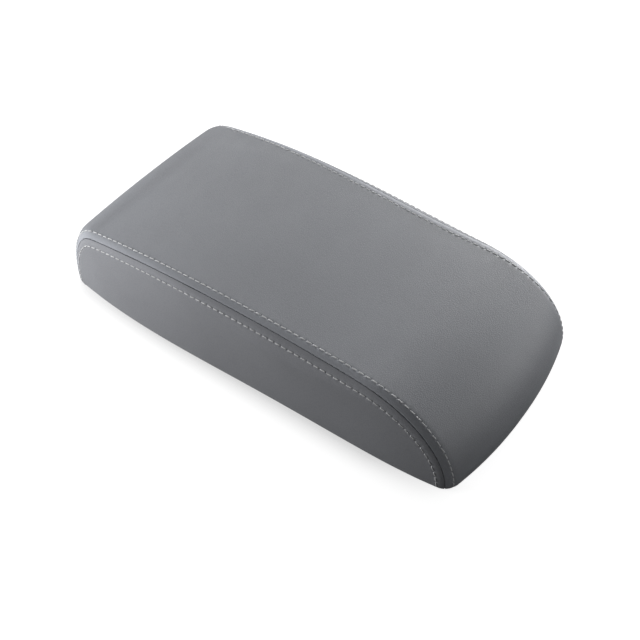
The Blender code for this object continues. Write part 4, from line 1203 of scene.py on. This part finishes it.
for name, (node, width, finish, slotName) in edgeBreak.items():
    piece = brokenEdges(name, node, width)
    piece.data.materials.clear()
    piece.data.materials.append(finishes[finish])
    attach(piece, bodyOf[node])
    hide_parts(node)


# Screws and rubber buffers, set in their places by Geometry Nodes

def turnedModel(name, profile, sides, smoothAngle, cutters=()):
    # a closed body turned about Z from a profile of radius and height
    points = []
    for radius, height in profile:
        for side in range(sides):
            turn = 2.0 * math.pi * side / sides
            points.append((radius * math.cos(turn), radius * math.sin(turn), height))
    mesh = newMesh(name, points, ringFaces(len(profile) - 1, sides))
    with editing(mesh) as bm:
        bmesh.ops.remove_doubles(bm, verts=bm.verts, dist=mergeDistance)
        bmesh.ops.recalc_face_normals(bm, faces=bm.faces)
    model = addPiece(name, mesh)
    for cutter in cutters:
        cutAway(model, cutter)
    smoothByAngle(model.data, smoothAngle)
    return model


def roundedCorner(radius, height, turnFrom, turnTo, size, steps):
    # points of a small round on a profile, about a centre at radius and height
    turns = np.linspace(math.radians(turnFrom), math.radians(turnTo), steps + 1)
    return [(radius + size * math.cos(t), height + size * math.sin(t)) for t in turns]


def cutAway(piece, cutter):
    modifier = piece.modifiers.new("cut", "BOOLEAN")
    modifier.operation = "DIFFERENCE"
    modifier.solver = "EXACT"
    modifier.object = cutter
    graph = bpy.context.evaluated_depsgraph_get()
    mesh = bpy.data.meshes.new_from_object(piece.evaluated_get(graph), depsgraph=graph)
    piece.modifiers.remove(modifier)
    piece.data = mesh
    bpy.data.objects.remove(cutter, do_unlink=True)


def makePointTree():
    # one copy of Model on each vertex, turned about its own axis by chance
    tree, given = newTree("setInPlaces", ("Model", "Object"), ("Turn spread", "Float"), ("Seed", "Int"))
    values = {"Max": given["Turn spread"], "Seed": given["Seed"]}
    spread = addNode(tree, "FunctionNodeRandomValue", (-4, -4), values, data_type="FLOAT")
    turn = turnAboutZ(tree, spread.outputs["Value"])
    points = addNode(tree, "GeometryNodeMeshToPoints", (-4, 0), {"Mesh": given["Geometry"]})
    return endTree(tree, given, setModels(tree, given, points.outputs["Points"], turn))


screw = {
    "headRadius": 0.0037,
    "headHeight": 0.0022,
    "crown": ((0.0, 0.0), (0.35, 0.00004), (0.6, 0.00018)),  # share of the radius, drop
    "dome": 0.0013,
    "domeDrop": 0.0002,
    "domeFrom": -70.0,          # degrees
    "domeSteps": 6,
    "rimHeight": 0.0006,
    "edgeBreak": 0.00008,
    "shankRadius": 0.0018,
    "length": 0.0105,
    "tipLength": 0.0012,
    "tipShare": 0.45,
    "crossLength": 0.0040,
    "crossWidth": 0.0008,
    "crossDepth": 0.0013,
    "crossTaper": (0.35, 0.6),  # what is left of its length and width at its bottom
    "crossStart": 0.0005,       # the cutter begins this far above the head
    "sides": 32,
    "smoothAngle": 30.0,
}


def crossBit(turned):
    # one bar of the cross, narrower where it is deep
    mesh = bpy.data.meshes.new("crossBit")
    reach, width = screw["crossLength"] / 2.0, screw["crossWidth"] / 2.0
    top = -screw["headHeight"]
    with editing(mesh) as bm:
        bmesh.ops.create_cube(bm, size=1.0)
        for vert in bm.verts:
            deep = vert.co.z > 0.0
            along, across = screw["crossTaper"] if deep else (1.0, 1.0)
            x, y = math.copysign(reach * along, vert.co.x), math.copysign(width * across, vert.co.y)
            z = top + screw["crossDepth"] if deep else top - screw["crossStart"]
            vert.co = (y, x, z) if turned else (x, y, z)
        bmesh.ops.recalc_face_normals(bm, faces=bm.faces)
    return addPiece("crossBit", mesh)


def screwModel():
    # pan head down, flat side at z = 0, with a washer face and a cross recess
    head, height, shank, dome = (screw[key] for key in ("headRadius", "headHeight", "shankRadius", "dome"))
    length, small = screw["length"], screw["edgeBreak"]
    profile = [(head * share, -height + drop) for share, drop in screw["crown"]]
    domeHeight = -height + dome + screw["domeDrop"]
    profile += roundedCorner(head - dome, domeHeight, screw["domeFrom"], 0.0, dome, screw["domeSteps"])[:-1]
    profile += [(head, -screw["rimHeight"]), (head, -small), (head - small, 0.0), (shank, 0.0)]
    profile += [(shank, length - screw["tipLength"]), (shank * screw["tipShare"], length), (0.0, length)]
    bars = [crossBit(False), crossBit(True)]
    return turnedModel("screwModel", profile, screw["sides"], screw["smoothAngle"], bars)


buffer = {
    "radius": 0.0055,
    "height": 0.0065,
    "footRound": 0.0019,
    "footSteps": 7,
    "dimple": ((0.0, 0.0009), (0.22, 0.0009), (0.30, 0.0002), (0.36, 0.0)),  # share of the radius, depth
    "waist": (0.52, 0.60, 0.68, 0.76),  # shares of the height
    "chamfer": 0.0005,
    "stemRadius": 0.0022,
    "stemHeight": 0.0040,
    "sides": 40,
    "smoothAngle": 50.0,
}


def bufferModel():
    # soft rounded foot, a waist line and the stem that is pressed into its boss
    radius, height, stem, small = (buffer[key] for key in ("radius", "height", "stemRadius", "chamfer"))
    top = height + buffer["stemHeight"]
    foot = buffer["footRound"]
    profile = [(radius * share, depth) for share, depth in buffer["dimple"]]
    profile += roundedCorner(radius - foot, foot, -90.0, 0.0, foot, buffer["footSteps"])
    inward = (0.0, small, small, 0.0)
    profile += [(radius - inset, height * share) for inset, share in zip(inward, buffer["waist"])]
    profile += [(radius, height - small), (radius - small, height), (stem, height)]
    profile += [(stem, top - small), (stem - small, top), (0.0, top)]
    return turnedModel("bufferModel", profile, buffer["sides"], buffer["smoothAngle"])


def nodeAxis(node, lift):
    low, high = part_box(node)
    return ((low[0] + high[0]) / 2.0, (low[1] + high[1]) / 2.0, low[2] + lift)


pointTree = makePointTree()
screwNodes = [f"panel_screw_{k}" for k in range(1, 7)] + [f"hinge_screw_{k}" for k in range(1, 5)]
screwNodes += ["latch_screw_1", "latch_screw_2"]
bufferNodes = [f"bumper_{k}" for k in range(1, 5)]
for name, group, makeModel, lift, spread, finish, slotName in (
    ("fixingScrews", screwNodes, screwModel, screw["headHeight"], 2.0 * math.pi, "zincSteel", "zinc_steel"),
    ("rubberBuffers", bufferNodes, bufferModel, 0.0, 0.0, "rubber", "rubber"),
):
    model = makeModel()
    values = {"Model": model, "Turn spread": spread, "Seed": 5, "Finish": finishes[finish]}
    places = addPiece(name + "Places", newMesh(name + "Places", [nodeAxis(node, lift) for node in group], []))
    piece = growPiece(name, places, pointTree, values)
    bpy.data.objects.remove(model, do_unlink=True)
    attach(piece, bodyOf[group[0]])
    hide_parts(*group)


# Latch spring, a wire led round the pin with one leg on the paddle and one on the housing

spring = {
    "wireRadius": 0.0004,
    "wireSides": 14,
    "coilRadius": 0.0030,
    "turns": 4,
    "length": 0.0050,
    "leg": 0.0100,
    "legTilt": math.radians(40.0),
    "legTop": 0.0106,        # height of the housing leg's end
    "axis": (0.1329368, 0.0079),
    "start": 0.0079,         # where the coil begins, across the lid
    "stepsPerTurn": 32,
}


def springRoute():
    radius = spring["coilRadius"]
    first = -math.pi / 2.0
    last = first - 2.0 * math.pi * spring["turns"] - spring["legTilt"]
    count = int(spring["stepsPerTurn"] * (spring["turns"] + 0.5))
    turns = np.linspace(first, last, count + 1)
    across = spring["length"] * np.linspace(0.0, 1.0, count + 1)
    coil = np.column_stack([radius * np.cos(turns), across, radius * np.sin(turns)])
    climb = spring["legTop"] - spring["axis"][1] - coil[-1, 2]
    end = coil[-1] + np.array([-climb / math.tan(spring["legTilt"]), 0.0, climb])
    route = np.vstack([[(spring["leg"], 0.0, -radius)], coil, [end]])
    return route + np.array([spring["axis"][0], spring["start"], spring["axis"][1]])


def makeWireTree():
    # a round wire along the path
    tree, given = newTree("wireAlongPath", ("Wire radius", "Float"), ("Sides", "Int"))
    curve = addNode(tree, "GeometryNodeMeshToCurve", (-4, 0), {"Mesh": given["Geometry"]})
    values = {"Resolution": given["Sides"], "Radius": given["Wire radius"]}
    ring = addNode(tree, "GeometryNodeCurvePrimitiveCircle", (-4, -2), values)
    values = {"Curve": curve.outputs["Curve"], "Profile Curve": ring.outputs["Curve"], "Fill Caps": True}
    wire = addNode(tree, "GeometryNodeCurveToMesh", (-2, 0), values)
    return endTree(tree, given, wire.outputs["Mesh"])


route = springRoute()
springPath = pathPiece("springPath", [(route, np.tile((0.0, 1.0, 0.0), (len(route), 1)))])
values = {"Wire radius": spring["wireRadius"], "Sides": spring["wireSides"], "Finish": finishes["plainSteel"]}
latchSpring = growPiece("latchSpring", springPath, makeWireTree(), values)
latchSpring.data.shade_smooth()
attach(latchSpring, bodyOf["latch_spring"])
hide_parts("latch_spring")
print("fittings set")


# Plain floor, soft light and the photograph's camera

studio = {
    "azimuth": math.radians(38.30),
    "elevation": math.radians(48.02),
    "roll": math.radians(-2.74),
    "distance": 0.6490,
    "focalPixels": 967.3,
    "imagePixels": 640.0,
    "sensor": 36.0,
    "clip": (0.01, 20.0),
    "aim": (0.00545, -0.02612, 0.025),  # right, up, and height of the point aimed at
    "lampTarget": (0.0, 0.0, 0.03),
    "worldStrength": 0.12,
    "floorSize": 3.0,
    "floorColour": (0.35, 0.35, 0.35),
    "floorSeen": (0.32, 0.32, 0.32),    # the floor's colour to the camera
    "floorLift": 0.92,                  # and its own light there
    "contactReach": 0.020,   # how far the painted contact shadow where the cover meets the floor spreads
    "contactDark": 0.40,
    "contactPower": 1.5,
    "frontShare": 0.15,      # of it that the front end shows
    "frontFrom": (-0.080, -0.060),      # across the lid, where that begins
    "cornerShare": 0.35,     # and the front corner
    "cornerFrom": (0.100, 0.150),       # along the lid
}
lamps = {  # place, size, power, seen in gloss; nearLeft is a fill that leaves no streak beside the seam
    "backSoft": ((0.0, 0.978, 0.208), 0.60, 15.1, True),
    "backRight": ((0.692, 0.692, 0.208), 0.50, 1.85, True),
    "rearHigh": ((-0.579, 0.579, 0.574), 0.50, 1.2, True),
    "nearLeft": ((-0.35, -0.30, 0.15), 0.20, 1.85, False),
}


def makeCamera():
    azimuth, elevation, roll = studio["azimuth"], studio["elevation"], studio["roll"]
    away = math.cos(elevation)
    back = Vector((math.sin(azimuth) * away, -math.cos(azimuth) * away, math.sin(elevation)))
    level = Vector((math.cos(azimuth), math.sin(azimuth), 0.0))
    upright = back.cross(level)
    right = math.cos(roll) * level + math.sin(roll) * upright
    up = -math.sin(roll) * level + math.cos(roll) * upright
    aimRight, aimUp, aimHeight = studio["aim"]
    aim = Vector((seamMiddle, 0.0, aimHeight)) + aimRight * level + aimUp * upright
    data = bpy.data.cameras.new("photoCamera")
    data.sensor_width = studio["sensor"]
    data.lens = studio["focalPixels"] * studio["sensor"] / studio["imagePixels"]
    data.clip_start, data.clip_end = studio["clip"]
    camera = addPiece("photoCamera", data)
    turn = Matrix((right, up, back)).transposed().to_4x4()
    camera.matrix_world = Matrix.Translation(aim + back * studio["distance"]) @ turn
    bpy.context.scene.camera = camera


def makeLamps():
    for name, (place, size, power, inGloss) in lamps.items():
        data = bpy.data.lights.new(name, "AREA")
        data.shape = "SQUARE"
        data.size = size
        data.energy = power
        lamp = addPiece(name, data)
        lamp.location = place
        beam = Vector(studio["lampTarget"]) - Vector(place)
        lamp.rotation_euler = beam.to_track_quat("-Z", "Y").to_euler()
        lamp.visible_camera = False
        lamp.visible_glossy = inGloss


def makeWorld():
    world = bpy.data.worlds.new("studioWorld")
    bpy.context.scene.world = world
    world.use_nodes = True
    tree = world.node_tree
    path = addNode(tree, "ShaderNodeLightPath", (-4, 0)).outputs
    seen = addMath(tree, "ADD", path["Is Camera Ray"], path["Is Glossy Ray"], (-3, 0))
    seen = addMath(tree, "ADD", seen, path["Is Transmission Ray"], (-2, 0))
    strength = addRange(tree, seen, 0.0, 1.0, studio["worldStrength"], 1.0, (-1, 0))
    feed(tree, tree.nodes["Background"], {"Color": (1.0, 1.0, 1.0, 1.0), "Strength": strength})


def contactShade(tree, where):
    # painted contact shadow: how dark the floor is beside the cover, less so at the front end and its corner
    values = {"Distance": studio["contactReach"]}
    contact = addNode(tree, "ShaderNodeAmbientOcclusion", (-5, -2), values, samples=16)
    covered = addRange(tree, contact.outputs["AO"], 0.5, 1.0, 1.0, 0.0, (-5, -3))
    covered = addMath(tree, "POWER", covered, studio["contactPower"], (-4, -3))
    parts = addNode(tree, "ShaderNodeSeparateXYZ", (-6, -4), {"Vector": where}).outputs
    nearSide = addRange(tree, parts["Y"], *studio["frontFrom"], 1.0, studio["frontShare"], (-5, -4))
    corner = addRange(tree, parts["X"], *studio["cornerFrom"], 1.0, studio["cornerShare"], (-5, -5))
    shown = addMath(tree, "MULTIPLY", nearSide, corner, (-4, -4))
    shown = addMath(tree, "MULTIPLY", covered, shown, (-3, -3))
    return addMath(tree, "MULTIPLY", shown, studio["contactDark"], (-2, -3))


def makeFloor():
    half = studio["floorSize"] / 2.0
    corners = [(-half, -half, 0.0), (half, -half, 0.0), (half, half, 0.0), (-half, half, 0.0)]
    floor = addPiece("floor", newMesh("floor", corners, [(0, 1, 2, 3)]))
    material, tree, shader, where = newMaterial("paleFloor", studio["floorColour"], 0.9, specular=0.0)
    seen = addNode(tree, "ShaderNodeLightPath", (-4, 0)).outputs["Is Camera Ray"]
    lift = addMath(tree, "SUBTRACT", studio["floorLift"], contactShade(tree, where), (-2, -2))
    feed(tree, shader, {
        "Base Color": addTint(tree, seen, studio["floorColour"], studio["floorSeen"]),
        "Emission Color": (1.0, 1.0, 1.0, 1.0),
        "Emission Strength": addMath(tree, "MULTIPLY", seen, lift, (-1, -2)),
    })
    floor.data.materials.append(material)


makeCamera()
makeLamps()
makeWorld()
makeFloor()
bpy.context.scene.view_settings.view_transform = "Standard"
print("stage set")
